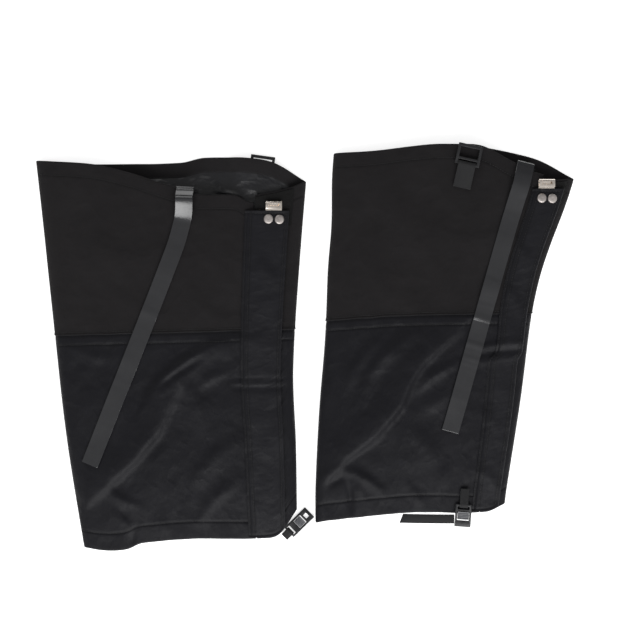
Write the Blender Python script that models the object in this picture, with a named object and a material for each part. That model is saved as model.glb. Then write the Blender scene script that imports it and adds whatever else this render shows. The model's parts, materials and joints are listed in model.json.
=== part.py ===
"""A pair of hiking gaiters, laid flat side by side with the boot ends at +Y.

Each gaiter is a flattened cloth tube. Its back layer lies on the floor and its front layer
stands over it as a low crown, folded over along the rear (-X) and the closure side (+X).
A storm flap covers the closure, and carries a riveted lace hook at its boot end.
An instep strap, a strap buckle and a calf buckle hang from the hems on webbing.

Every cloth piece is a slab between two offsets from one shared section, so neighbours in a
stack stay parallel. Offsets count outwards from the middle of the shell cloth.
Units are metres. The origin is the middle of the pair's footprint, on the floor.
"""
import math

import bmesh
import bpy
from mathutils import Matrix, Vector

# ---- cloth, tape and webbing ----
CLOTH = 0.0012            # shell cloth
GAP = 0.0003              # clearance between neighbours in a stack
BAND = 0.0010             # turned hem bands and linings
TAPE = 0.0008             # hook tape, loop tape and seam tape
FLAP = 0.0016             # storm flap, two plies
STRAP = 0.0016            # instep strap thickness
STRAP_WIDTH = 0.019
STRAP_ROOT = 0.018        # of the strap, sewn inside the boot hem
PATCH_LENGTH = 0.021      # patch over that root
PATCH_START = 0.001       # from the mouth's edge to the patch
PATCH_MARGIN = 0.003      # of the patch beyond each side of the strap
HUMP_PLACE = 0.022        # the strap stands off the shell most this far from the mouth
HUMP_LENGTH = 0.013
WEBBING = 0.0012          # thin webbing of the tabs and the draw strap
PLY_GAP = 0.0004          # between a tab's two plies
DRAW_WIDTH = 0.010
CALF_LOOP_WIDTH = 0.009   # webbing that holds the calf buckle
HEM_DEPTH = 0.016         # boot hem band
CALF_HEM_DEPTH = 0.020    # tunnel of the draw strap
SEAM_TAPE_WIDTH = 0.012
ELASTIC_WIDTH = 0.014
PANEL_GAP = 0.0004        # between panels that meet edge to edge

# ---- section of the flattened tube ----
FOLD_SHARE = 0.055        # share of the width that each side fold takes
BACK_RISE = 0.0045        # the back layer's curl up to the fold
FRONT_RISE = 0.0052       # the front layer's curl from the fold to its crown
CROWN = 0.0085            # extra height of the front layer at mid width
LIFT_HALF_WIDTH = 0.034   # of the rise in the back layer over a buckle that lies under it
LIFT_POWER = 6            # how steeply that rise ends to either side

# ---- the closure, in shares of the width from the rear fold unless noted ----
FLAP_MARGIN = 0.032       # the front panel runs on under the flap this far
PLACKET_GAP = 0.004       # between the front panel and the placket
PLACKET_INSET = (0.030, 0.020)   # the placket's flat stretch, in from its two ends
FLAP_COLUMNS = (0.032, 0.060)    # the flap's first two lines of points, in from its hinge
FLAP_ROOT = 0.018         # strip that the flap is stitched to
TAPE_INSET = (0.050, 0.012)      # the tapes, in from the flap's two edges
FLAP_FOOT = 0.002         # metres, from the calf end's edge to the flap
TAPE_FOOT = 0.006         # metres, from the calf end's edge to the tapes
TAPE_HEAD = 0.002         # metres, from the hook's plate to the tapes

# ---- strap buckle, calf buckle and the webbing loops that hold them ----
BAR = 0.0022              # square bar that a loop goes round, and its frame's thickness
LOOP_CLEARANCE = 0.0001   # between a bar's corner and its loop, all the way round
LOOP_FLAT = 0.0012        # level stretch of the loop behind the bar's axis
LOOP_THROAT = 0.0015      # from the back of the loop to where its plies meet
BUCKLE_RAIL = 0.0031
STRAP_PLAY = 0.0009       # each side of the strap in its buckle
BUCKLE_HALF_WIDTH = STRAP_WIDTH / 2 + STRAP_PLAY + BUCKLE_RAIL
SLOT_END = 0.0044         # far side of the webbing slot, from the bar's axis
LADDER_BAR_END = 0.0070
WINDOW_END = 0.0185
BUCKLE_END = 0.0219
CALF_RAIL = 0.0023
CAM_WINDOW = 0.0100
CAM_LENGTH = 0.0084
CAM_HEIGHT = 0.0044
CAM_PROUD = 0.0015        # height of the cam over the frame
CAM_SIDE_GAP = 0.0004
CAM_CHAMFER = 0.0008
CAM_RIBS = 4
RIB_MARGIN = 0.001        # smooth ends of the cam's top, before and after the ribs
RIB_DEPTH = 0.0006
PULL_HOLE_HALF = 0.0026

# ---- rivets and lace hook ----
CAP_RADIUS = 0.0052
CAP_HEIGHT = 0.0019
SHANK_RADIUS = 0.0018
TAIL_RADIUS = 0.0032
TAIL_HEIGHT = 0.0007
RIVET_HOLE_CLEARANCE = 0.0003
RIVET_SEGMENTS = 12
HOOK_PLATE = 0.0008
HOOK_WIDTH = 0.0176
HOOK_RADIUS = 0.0017      # inner to outer middle of the hook's turn
HOOK_SETBACK = 0.0065     # plate behind the rivets
HOOK_WINDOW_HALF = 0.0058
HOOK_BAR = 0.0030         # width of the bars either side of the window
CAP_PROFILE = ((0.62, 0.78), (0.93, 0.34), (1.0, 0.0))   # shares of radius and height
DRILL_REACH = 0.006       # of a rivet's drill beyond the flap, both ways

# ---- offsets of the stack over the closure, from the shell's middle ----
SHELL_OUT = CLOTH / 2
LOOP_TAPE_IN = SHELL_OUT + GAP
HOOK_TAPE_IN = LOOP_TAPE_IN + TAPE + GAP
FLAP_IN = HOOK_TAPE_IN + TAPE + GAP
FLAP_OUT = FLAP_IN + FLAP
BAND_OUT = -(SHELL_OUT + GAP)

LOOP_RADIUS = BAR / math.sqrt(2) + LOOP_CLEARANCE + WEBBING / 2
LOOP_OUTER = LOOP_RADIUS + WEBBING / 2
LIFT_LOOP = 0.0028556     # outer radius of the loop that the lift heights below are drawn for
TURN_RADIUS = (CLOTH + BAND + 4 * GAP + STRAP) / 2   # strap folded round shell and hem
TURN_CENTRE = -(BAND + GAP) / 2

COLOURS = {
    "heavy_cloth": ((0.020, 0.018, 0.019), 0.9, 0.0),
    "nylon": ((0.016, 0.016, 0.020), 0.5, 0.0),
    "lining": ((0.012, 0.012, 0.015), 0.35, 0.0),
    "webbing": ((0.040, 0.042, 0.048), 0.6, 0.0),
    "tape": ((0.010, 0.010, 0.011), 1.0, 0.0),
    "elastic": ((0.030, 0.030, 0.032), 0.8, 0.0),
    "plastic": ((0.012, 0.012, 0.013), 0.35, 0.0),
    "grey_plastic": ((0.200, 0.200, 0.210), 0.5, 0.0),
    "nickel": ((0.560, 0.520, 0.500), 0.25, 1.0),
}

# Each gaiter's own sizes. Outlines run from the calf end (0) to the boot end (1), and
# edges run from the rear fold (0) to the closure fold (1). Drops and rises are in metres.
# Rivets, hook, strap, strap buckle and lift give their place along the gaiter as a depth
# below the boot end's line, so they keep their place at the mouth when the length changes.
LEFT = {
    "side": "left",
    "calf_line": -0.2235,
    "length": 0.4340,
    "width": [(0, 0.234), (0.26, 0.251), (0.47, 0.259), (0.76, 0.280), (1, 0.300)],
    "centre": [(0, -0.1256), (0.26, -0.1355), (0.47, -0.1425), (1, -0.1468)],
    "puff": [(0, 0.62), (0.15, 0.92), (0.5, 1.0), (0.85, 1.0), (1, 0.82)],
    "calf_rise": [(0, 0.003), (0.1, 0.001), (0.2, 0.002), (0.28, 0.009), (0.5, 0.0135),
                  (0.84, 0.0140), (0.92, 0.0190), (1, 0.0440)],
    "back_drop": [(0, 0.0047), (0.2, 0.008), (0.53, 0.0065), (0.62, 0.0005), (0.79, 0.0022),
                  (0.88, 0.0076), (1, 0.0270)],
    "front_drop": [(0, 0.0047), (0.2, 0.0085), (0.34, 0.0185), (0.525, 0.0359),
                   (0.6, 0.0421), (0.74, 0.0432), (0.786, 0.0500), (0.84, 0.0520)],
    "placket_drop": [(0.8, 0.0440), (0.95, 0.0340), (1, 0.0280)],
    "seam_height": [(0, 0.2370), (1, 0.2440)],
    "ankle_height": 0.1860,
    "flap": (0.778, 0.945),
    "flap_drop": 0.0600,
    "lift": [(0.0045, 0.0108), (0.0225, 0.0071), (0.0345, 0.0056), (0.0505, 0.0032),
             (0.0805, 0)],
    "lift_middle": -0.0466,
    "rivets": [(-0.0402, 0.0692), (-0.0283, 0.0696)],
    "hook_end": 0.0495,
    "hook_tip": 0.0580,
    "strap": [(-0.1312, 0.0365), (-0.1332, 0.0721), (-0.1423, 0.1018), (-0.2359, 0.3388)],
    "strap_hump": 0.0050,
    "strap_buckle": (-0.0490, 0.0200, -8.0),
    "strap_buckle_under": True,
    "strap_buckle_tab": 0.0145,
    "calf_buckle": (-0.0168, -0.2034, -45.6),
    "calf_buckle_half_width": 0.0075,
    "calf_window": 0.0110,
    "calf_end": 0.0309,
    "calf_hole": (0.0232, 0.0274),
    "calf_pitch": -2.4,
    "calf_tab": 0.004,
    "calf_on_floor": True,
}

RIGHT = {
    "side": "right",
    "calf_line": -0.1933,
    "length": 0.4168,
    "width": [(0, 0.206), (0.3, 0.220), (0.55, 0.226), (0.74, 0.243), (0.9, 0.265),
              (1, 0.272)],
    "centre": [(0, 0.1150), (0.1, 0.1176), (0.41, 0.1312), (0.65, 0.1422), (0.83, 0.1579),
               (1, 0.1690)],
    "puff": [(0, 0.62), (0.15, 0.92), (0.5, 1.0), (0.85, 1.0), (1, 0.82)],
    "calf_rise": [(0, 0.001), (0.1, 0.004), (0.3, 0.0085), (0.5, 0.0125), (0.9, 0.0128),
                  (1, 0.0210)],
    "back_drop": [(0, 0.0097), (0.14, 0.0074), (0.4, 0.0003), (0.5, 0.0001), (0.6, 0.0018),
                  (0.75, 0.0097), (0.85, 0.0175), (1, 0.0370)],
    "front_drop": [(0, 0.0097), (0.14, 0.0074), (0.4, 0.0003), (0.5, 0.0001), (0.6, 0.0022),
                   (0.72, 0.0175), (0.82, 0.0298), (0.88, 0.0340)],
    "placket_drop": [(0.8, 0.0350), (0.92, 0.0390), (1, 0.0380)],
    "seam_height": [(0, 0.2230), (0.4, 0.2290), (1, 0.2312)],
    "ankle_height": 0.1880,
    "flap": (0.836, 0.965),
    "flap_drop": 0.0488,
    "lift": [(0, 0), (1, 0)],
    "lift_middle": 0.1690,
    "rivets": [(0.2593, 0.0592), (0.2709, 0.0595)],
    "hook_end": 0.0383,
    "hook_tip": 0.0470,
    "strap": [(0.2424, 0.0225), (0.2357, 0.0495), (0.2270, 0.0768), (0.1593, 0.3152)],
    "strap_hump": 0.0012,
    "strap_buckle": (0.1775, 0.0225, -12.5),
    "strap_buckle_under": False,
    "strap_buckle_tab": 0.022,
    "calf_buckle": (0.1745, -0.1727, 176.0),
    "calf_buckle_half_width": 0.00885,
    "calf_window": 0.0065,
    "calf_end": 0.0235,
    "calf_hole": None,
    "calf_pitch": -2.0,
    "calf_tab": 0.014,
    "calf_on_floor": False,
    "tail_end": (0.1081, -0.1876),
    "tail_start": (0.0006, 0.0150),   # beyond the buckle's side, and along it
    "tail_drop": 0.0056,
    "tail_point": 0.004,
}

FOLD_ANGLES = (0, 25, 50, 90)
FRONT_SHARES = (0.12, 0.21, 0.31, 0.42, 0.53, 0.63, 0.71)
BACK_SHARES = (0.12, 0.88)
BACK_COLUMNS = 8
TRIM_START = 0.3 * FOLD_SHARE   # trims inside the tube stop short of its tight side folds
CALF_ROWS = 5
LINING_END = 0.094        # how far the mouth lining reaches in
BOOT_LINES = (0.130, LINING_END, 0.072, 0.052, 0.034, HEM_DEPTH, 0.0)   # below the mouth
FLAP_ROWS = 12
STRAP_ROWS = 22
STRAP_CROWDING = 1.35     # rows of points lie closer together near the mouth
TAIL_ROWS = 12


# ---- small tools ----

def clear_scene():
    """Start from an empty scene."""
    for old in list(bpy.data.objects):
        bpy.data.objects.remove(old, do_unlink=True)


def curve(points):
    """A smooth function through (place, value) points, level beyond both ends."""
    last = len(points) - 1

    def slope(i):
        low = points[max(i - 1, 0)]
        high = points[min(i + 1, last)]
        return (high[1] - low[1]) / (high[0] - low[0])

    def at(t):
        if t <= points[0][0]:
            return points[0][1]
        if t >= points[last][0]:
            return points[last][1]
        i = max(k for k in range(last) if points[k][0] <= t)
        step = points[i + 1][0] - points[i][0]
        s = (t - points[i][0]) / step
        start = points[i][1] * (1 + 2 * s) * (1 - s) ** 2 + slope(i) * step * s * (1 - s) ** 2
        end = points[i + 1][1] * s * s * (3 - 2 * s) - slope(i + 1) * step * s * s * (1 - s)
        return start + end
    return at


def quarter(q):
    """Height of a quarter circle of radius 1 at distance q from its foot."""
    q = min(max(q, 0.0), 1.0)
    return math.sqrt(1 - (1 - q) ** 2)


def spread(low, high, count):
    """count + 1 even places from low to high."""
    return [low + (high - low) * i / count for i in range(count + 1)]


def finish_for(name, look):
    """The piece's own material."""
    colour, roughness, metallic = COLOURS[look]
    material = bpy.data.materials.new(name + "_finish")
    material.use_nodes = True
    shader = material.node_tree.nodes["Principled BSDF"]
    shader.inputs["Base Color"].default_value = (*colour, 1.0)
    shader.inputs["Roughness"].default_value = roughness
    shader.inputs["Metallic"].default_value = metallic
    return material


def add_piece(name, look, verts, faces, holder=None):
    """One closed body as a named object. A holder is the empty on its joint's axis."""
    mesh = bpy.data.meshes.new(name)
    origin = holder.location if holder else Vector((0, 0, 0))
    mesh.from_pydata([Vector(v) - origin for v in verts], [], faces)
    body = bmesh.new()
    body.from_mesh(mesh)
    bmesh.ops.recalc_face_normals(body, faces=body.faces)
    body.to_mesh(mesh)
    body.free()
    mesh.materials.append(finish_for(name, look))
    piece = bpy.data.objects.new(name, mesh)
    bpy.context.collection.objects.link(piece)
    if holder:
        piece.parent = holder
    return piece


def add_axis(name, place, direction):
    """An empty on a joint's axis. Its rotation stays zero, and its axis is a property."""
    empty = bpy.data.objects.new(name, None)
    bpy.context.collection.objects.link(empty)
    empty.location = place
    empty["axis"] = tuple(Vector(direction).normalized())
    return empty


def slab(name, look, outer, inner, holder=None):
    """A closed body between two matching grids of points, [row][column]."""
    rows = len(outer)
    cols = len(outer[0])
    verts = [p for row in outer for p in row] + [p for row in inner for p in row]
    under = rows * cols
    faces = []

    def quad(a, b, c, d):
        faces.append((a, b, c))
        faces.append((a, c, d))

    for r in range(rows - 1):
        for c in range(cols - 1):
            a = r * cols + c
            quad(a, a + 1, a + cols + 1, a + cols)
            quad(under + a, under + a + 1, under + a + cols + 1, under + a + cols)
    rim = list(range(cols))
    rim += [r * cols + cols - 1 for r in range(1, rows)]
    rim += [(rows - 1) * cols + c for c in range(cols - 2, -1, -1)]
    rim += [r * cols for r in range(rows - 2, 0, -1)]
    for i, a in enumerate(rim):
        b = rim[(i + 1) % len(rim)]
        quad(a, b, under + b, under + a)
    return add_piece(name, look, verts, faces, holder)


def lattice(name, look, xs, ys, openings, thickness, place, holder=None):
    """A flat plate of cells, less its openings given as (column, row)."""
    def solid(i, j):
        inside = 0 <= i < len(xs) - 1 and 0 <= j < len(ys) - 1
        return inside and (i, j) not in openings

    verts = []
    index = {}

    def corner(i, j, top):
        key = (i, j, top)
        if key not in index:
            index[key] = len(verts)
            z = thickness / 2 if top else -thickness / 2
            verts.append(place @ Vector((xs[i], ys[j], z)))
        return index[key]

    faces = []
    for i in range(len(xs) - 1):
        for j in range(len(ys) - 1):
            if not solid(i, j):
                continue
            ring = [(i, j), (i + 1, j), (i + 1, j + 1), (i, j + 1)]
            faces.append([corner(a, b, True) for a, b in ring])
            faces.append([corner(a, b, False) for a, b in reversed(ring)])
            beyond = [(i, j - 1), (i + 1, j), (i, j + 1), (i - 1, j)]
            for k, neighbour in enumerate(beyond):
                if not solid(*neighbour):
                    a = ring[k]
                    b = ring[(k + 1) % 4]
                    faces.append([corner(*a, True), corner(*a, False),
                                  corner(*b, False), corner(*b, True)])
    return add_piece(name, look, verts, faces, holder)


def prism(name, look, profile, half_width, place, holder=None):
    """A closed outline in the local YZ plane, extruded along local X."""
    count = len(profile)
    verts = [place @ Vector((-half_width, y, z)) for y, z in profile]
    verts += [place @ Vector((half_width, y, z)) for y, z in profile]
    faces = [list(range(count)), list(range(2 * count - 1, count - 1, -1))]
    for i in range(count):
        j = (i + 1) % count
        faces.append([i, j, count + j, count + i])
    return add_piece(name, look, verts, faces, holder)


def bent_strip(name, look, path, thickness, half_width, place, holder=None):
    """A strip whose middle follows a path in the local YZ plane."""
    outer = []
    inner = []
    for i, (y, z) in enumerate(path):
        before = path[max(i - 1, 0)]
        after = path[min(i + 1, len(path) - 1)]
        along = Vector((after[0] - before[0], after[1] - before[1])).normalized()
        dy = -along.y * thickness / 2
        dz = along.x * thickness / 2
        outer.append([place @ Vector((x, y + dy, z + dz)) for x in (-half_width, half_width)])
        inner.append([place @ Vector((x, y - dy, z - dz)) for x in (-half_width, half_width)])
    return slab(name, look, outer, inner, holder)


def turned(name, look, profile, segments, place, holder=None):
    """A solid of revolution about local Z, from (radius, z) points, top to bottom."""
    verts = [place @ Vector((0, 0, profile[0][1]))]
    for radius, z in profile[1:-1]:
        for k in range(segments):
            turn = 2 * math.pi * k / segments
            verts.append(place @ Vector((radius * math.cos(turn), radius * math.sin(turn), z)))
    verts.append(place @ Vector((0, 0, profile[-1][1])))
    faces = []
    rings = len(profile) - 2
    last = len(verts) - 1
    for k in range(segments):
        nxt = (k + 1) % segments
        faces.append((0, 1 + k, 1 + nxt))
        for ring in range(rings - 1):
            a = 1 + ring * segments
            b = a + segments
            faces.append((a + k, b + k, b + nxt, a + nxt))
        foot = 1 + (rings - 1) * segments
        faces.append((foot + k, last, foot + nxt))
    piece = add_piece(name, look, verts, faces, holder)
    piece.data.shade_smooth()
    piece.data.set_sharp_from_angle(angle=math.radians(35))
    return piece


def cut(piece, cutter):
    """Take one solid out of another, for good."""
    modifier = piece.modifiers.new("cut", "BOOLEAN")
    modifier.operation = "DIFFERENCE"
    modifier.solver = "EXACT"
    modifier.object = cutter
    bpy.context.view_layer.update()
    graph = bpy.context.evaluated_depsgraph_get()
    cut_mesh = bpy.data.meshes.new_from_object(piece.evaluated_get(graph))
    piece.modifiers.clear()
    piece.data = cut_mesh
    bpy.data.objects.remove(cutter, do_unlink=True)


# ---- the flattened tube ----

def from_boot_end(sizes):
    """The sizes with depths below the boot end's line turned into places along Y."""
    end = sizes["calf_line"] + sizes["length"]
    placed = dict(sizes)
    for key in ("rivets", "strap"):
        placed[key] = [(x, end - depth) for x, depth in sizes[key]]
    for key in ("hook_end", "hook_tip"):
        placed[key] = end - sizes[key]
    x, depth, yaw = sizes["strap_buckle"]
    placed["strap_buckle"] = (x, end - depth, yaw)
    return placed


class Shell:
    """Outline and section of one flattened gaiter."""

    def __init__(self, sizes):
        self.sizes = from_boot_end(sizes)
        self.calf_line = sizes["calf_line"]
        self.length = sizes["length"]
        self.width_at = curve(sizes["width"])
        self.centre_at = curve(sizes["centre"])
        self.puff_at = curve(sizes["puff"])
        self.calf_rise = curve(sizes["calf_rise"])
        self.seam_height = curve(sizes["seam_height"])
        self.lift_along = curve([(depth, height * LOOP_OUTER / LIFT_LOOP)
                                 for depth, height in sizes["lift"]])
        self.drop = {"back": curve(sizes["back_drop"]), "front": curve(sizes["front_drop"]),
                     "placket": curve(sizes["placket_drop"])}

    def share(self, y):
        """How far along the gaiter y is, from 0 at the calf end to 1 at the boot end."""
        return (y - self.calf_line) / self.length

    def width(self, y):
        return self.width_at(self.share(y))

    def across(self, f, y):
        """X at the share f of the width, from the rear fold."""
        return self.centre_at(self.share(y)) + (f - 0.5) * self.width(y)

    def share_across(self, x, y):
        return (x - self.across(0, y)) / self.width(y)

    def bottom(self, f):
        return self.calf_line + self.calf_rise(f)

    def seam(self, f):
        return self.calf_line + self.seam_height(f)

    def top(self, edge, f):
        return self.calf_line + self.length - self.drop[edge](f)

    def lift(self, x, y):
        """How far the back layer stands off the floor over a buckle that lies under it."""
        aside = (x - self.sizes["lift_middle"]) / LIFT_HALF_WIDTH
        depth = self.calf_line + self.length - y
        return self.lift_along(depth) * math.exp(-aside ** LIFT_POWER)

    def section(self, layer, f, y):
        """Middle of the shell cloth at (f, y): its x, its z and its outward direction."""
        f = min(max(f, 0.0), 1.0)
        x = self.across(f, y)
        run = FOLD_SHARE * self.width(y)
        q = min(f, 1 - f) / FOLD_SHARE
        side = 1 if f < 0.5 else -1
        steep = 0.0 if q >= 1 else (1 - q) / max(quarter(q), 0.001) / run
        if layer == "back":
            z = CLOTH / 2 + BACK_RISE * (1 - quarter(q)) + self.lift(x, y)
            out = Vector((-side * BACK_RISE * steep, 0, -1)).normalized()
        else:
            puff = self.puff_at(self.share(y))
            fold = CLOTH / 2 + BACK_RISE + PANEL_GAP
            z = fold + puff * (FRONT_RISE * quarter(q) + CROWN * math.sin(math.pi * f))
            lean = side * FRONT_RISE * steep
            lean += CROWN * math.pi / self.width(y) * math.cos(math.pi * f)
            out = Vector((-puff * lean, 0, 1)).normalized()
        return x, z, out

    def point(self, layer, f, y, offset):
        x, z, out = self.section(layer, f, y)
        return Vector((x, y, z)) + out * offset

    def front_top(self, x, y):
        """Height of the front layer's outer face over a point of the plan."""
        return self.section("front", self.share_across(x, y), y)[1] + SHELL_OUT

    def frame(self, layer, x, y):
        """A placing matrix on the shell's middle: X across, Y along, Z outwards."""
        step = 0.004
        f = self.share_across(x, y)
        middle = self.point(layer, f, y, 0)
        ahead = self.point(layer, self.share_across(x, y + step), y + step, 0)
        aside = self.point(layer, self.share_across(x + step, y), y, 0)
        along = (ahead - middle).normalized()
        out = (aside - middle).cross(along).normalized()
        right = along.cross(out)
        turn = Matrix((right, along, out)).transposed().to_4x4()
        return Matrix.Translation(middle) @ turn

    def cloth(self, node, look, layer, shares, lines, offsets, holder=None):
        """A slab of cloth between two offsets. Each line gives its y at a share."""
        outer = []
        inner = []
        for line in lines:
            outer.append([self.point(layer, f, line(f), offsets[1]) for f in shares])
            inner.append([self.point(layer, f, line(f), offsets[0]) for f in shares])
        return slab(self.sizes["side"] + "_" + node, look, outer, inner, holder)

    def below_top(self, edge, depth):
        """The line that runs a depth below a mouth edge."""
        return lambda f: self.top(edge, f) - depth

    def above_bottom(self, height):
        """The line that runs a height above the calf end's edge."""
        return lambda f: self.bottom(f) + height


def between(low, high, count):
    """count + 1 lines, evenly from one line to another."""
    def line(k):
        return lambda f: low(f) + (high(f) - low(f)) * k / count
    return [line(k) for k in range(count + 1)]


def fold_shares():
    """Shares of the width where the curl of a side fold gets a line of points."""
    return [FOLD_SHARE * (1 - math.cos(math.radians(a))) for a in FOLD_ANGLES]


# ---- the shell's own pieces ----

def make_panels(shell):
    """Front and back panels, the placket, and the trims sewn inside them."""
    flap_left = shell.sizes["flap"][0]
    margin_end = flap_left + FLAP_MARGIN
    rear = fold_shares()
    closure = [1 - f for f in reversed(rear)]
    front = rear + list(FRONT_SHARES) + [flap_left, margin_end]
    back = rear + spread(*BACK_SHARES, BACK_COLUMNS) + closure
    flat = (margin_end + PLACKET_INSET[0], closure[0] - PLACKET_INSET[1])
    placket = [margin_end + PLACKET_GAP, *flat] + closure
    shell_offsets = (-SHELL_OUT, SHELL_OUT)
    half_gap = PANEL_GAP / 2

    def above_seam(f):
        return shell.seam(f) + half_gap

    def below_seam(f):
        return shell.seam(f) - half_gap

    for layer, shares in (("front", front), ("back", back)):
        tunnel = shell.above_bottom(CALF_HEM_DEPTH)
        calf = [shell.bottom, shell.above_bottom(CALF_HEM_DEPTH / 2)]
        calf += between(tunnel, below_seam, CALF_ROWS)
        boot = [above_seam] + [shell.below_top(layer, depth) for depth in BOOT_LINES]
        shell.cloth("calf_panel_" + layer, "nylon", layer, shares, calf, shell_offsets)
        shell.cloth("boot_panel_" + layer, "heavy_cloth", layer, shares, boot, shell_offsets)
        trim_shares = [f for f in shares if TRIM_START <= f <= 1 - TRIM_START]
        make_hem(shell, layer, trim_shares)
        make_tunnel(shell, layer, trim_shares)
    placket_lines = between(shell.bottom, shell.below_top("placket", 0), FLAP_ROWS)
    shell.cloth("placket", "nylon", "front", placket, placket_lines, shell_offsets)
    make_inner_bands(shell, front, back)


def make_hem(shell, layer, shares):
    """The band of the boot hem, turned in along the mouth."""
    lines = [shell.below_top(layer, HEM_DEPTH), shell.below_top(layer, GAP)]
    shell.cloth("boot_hem_" + layer, "heavy_cloth", layer, shares, lines,
                (BAND_OUT - BAND, BAND_OUT))


def make_tunnel(shell, layer, shares):
    """Facing of the calf hem, with the draw strap between it and the panel."""
    strap_in = BAND_OUT - WEBBING
    facing_out = strap_in - GAP
    low = (CALF_HEM_DEPTH - DRAW_WIDTH) / 2
    strap_lines = [shell.above_bottom(low), shell.above_bottom(low + DRAW_WIDTH)]
    shell.cloth("draw_strap_" + layer, "webbing", layer, shares, strap_lines,
                (strap_in, BAND_OUT))
    facing_lines = [shell.above_bottom(GAP), shell.above_bottom(CALF_HEM_DEPTH)]
    shell.cloth("calf_hem_facing_" + layer, "nylon", layer, shares, facing_lines,
                (facing_out - TAPE, facing_out))


def make_inner_bands(shell, front, back):
    """Mouth lining, seam tape and ankle elastic, all inside the tube."""
    inner_back = [f for f in back if FOLD_SHARE <= f <= 1 - FOLD_SHARE]
    inner_front = [f for f in front if f >= FOLD_SHARE]
    tape_offsets = (BAND_OUT - TAPE, BAND_OUT)
    lining = [shell.below_top("back", depth) for depth in BOOT_LINES
              if HEM_DEPTH < depth <= LINING_END]
    lining.append(shell.below_top("back", HEM_DEPTH + GAP))
    shell.cloth("boot_lining", "lining", "back", inner_back, lining, tape_offsets)
    half_tape = SEAM_TAPE_WIDTH / 2
    shell.cloth("seam_tape", "tape", "front", inner_front,
                [lambda f: shell.seam(f) - half_tape, lambda f: shell.seam(f) + half_tape],
                tape_offsets)
    ankle = shell.calf_line + shell.sizes["ankle_height"]
    shell.cloth("ankle_elastic", "elastic", "back", inner_back,
                [lambda f: ankle - ELASTIC_WIDTH / 2, lambda f: ankle + ELASTIC_WIDTH / 2],
                tape_offsets)


# ---- the closure ----

def make_closure(shell):
    """Storm flap on its hinge line, with tapes, rivets and lace hook."""
    sizes = shell.sizes
    side = sizes["side"]
    left, right = sizes["flap"]
    rivet_y = sizes["rivets"][0][1]
    tape_end = rivet_y - HOOK_SETBACK - TAPE_HEAD

    def flap_foot(f):
        return shell.bottom(f) + FLAP_FOOT

    def flap_head(f):
        return shell.calf_line + shell.length - sizes["flap_drop"]

    def tape_foot(f):
        return shell.bottom(f) + TAPE_FOOT

    def tape_head(f):
        return tape_end

    holder = flap_axis(shell, left, flap_foot(left), flap_head(left))
    shares = [left, left + FLAP_COLUMNS[0]] + spread(left + FLAP_COLUMNS[1], right, 3)
    tape = spread(left + TAPE_INSET[0], right - TAPE_INSET[1], 2)
    flap_lines = between(flap_foot, flap_head, FLAP_ROWS)
    tape_lines = between(tape_foot, tape_head, FLAP_ROWS)
    flap = shell.cloth("storm_flap", "nylon", "front", shares, flap_lines,
                       (FLAP_IN, FLAP_OUT), holder)
    shell.cloth("hook_tape", "tape", "front", tape, tape_lines,
                (HOOK_TAPE_IN, HOOK_TAPE_IN + TAPE), holder)
    shell.cloth("loop_tape", "tape", "front", tape, tape_lines,
                (LOOP_TAPE_IN, LOOP_TAPE_IN + TAPE))
    shell.cloth("flap_root", "nylon", "front", [left, left + FLAP_ROOT], flap_lines,
                (SHELL_OUT + GAP, FLAP_IN - GAP))
    hook = make_lace_hook(shell, holder)
    for place_xy, label in zip(sizes["rivets"], ("inner", "outer")):
        frame = shell.frame("front", *place_xy)
        for target in (flap, hook):
            drill(target, frame)
        under_cap = FLAP_OUT + GAP
        under_plate = HOOK_TAPE_IN - GAP
        profile = [(0, under_cap + CAP_HEIGHT)]
        profile += [(r * CAP_RADIUS, under_cap + h * CAP_HEIGHT) for r, h in CAP_PROFILE]
        profile += [(SHANK_RADIUS, under_cap), (SHANK_RADIUS, under_plate),
                    (TAIL_RADIUS, under_plate), (TAIL_RADIUS, under_plate - TAIL_HEIGHT),
                    (0, under_plate - TAIL_HEIGHT)]
        turned(side + "_rivet_" + label, "nickel", profile, RIVET_SEGMENTS, frame, holder)


def flap_axis(shell, share, foot, head):
    """The flap turns about a straight level line just outside its stitched edge."""
    edge = [shell.point("front", share, y, FLAP_OUT) for y in spread(foot, head, FLAP_ROWS)]
    along = Vector((edge[-1].x - edge[0].x, edge[-1].y - edge[0].y, 0)).normalized()
    aside = Vector((-along.y, along.x, 0))
    reach = max(aside.dot(p - edge[0]) for p in edge) + GAP
    middle = (edge[0] + edge[-1]) / 2 + aside * reach
    middle.z = max(p.z for p in edge)
    return add_axis(shell.sizes["side"] + "_flap_axis", middle, -along)


def drill(target, frame):
    """A rivet's hole through a piece of the flap."""
    radius = SHANK_RADIUS + RIVET_HOLE_CLEARANCE
    high = FLAP_OUT + DRILL_REACH
    profile = [(0, high), (radius, high), (radius, -DRILL_REACH), (0, -DRILL_REACH)]
    cutter = turned("rivet_drill", "nickel", profile, RIVET_SEGMENTS, frame)
    cutter.hide_render = True
    cutter.display_type = "WIRE"
    cut(target, cutter)


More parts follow.
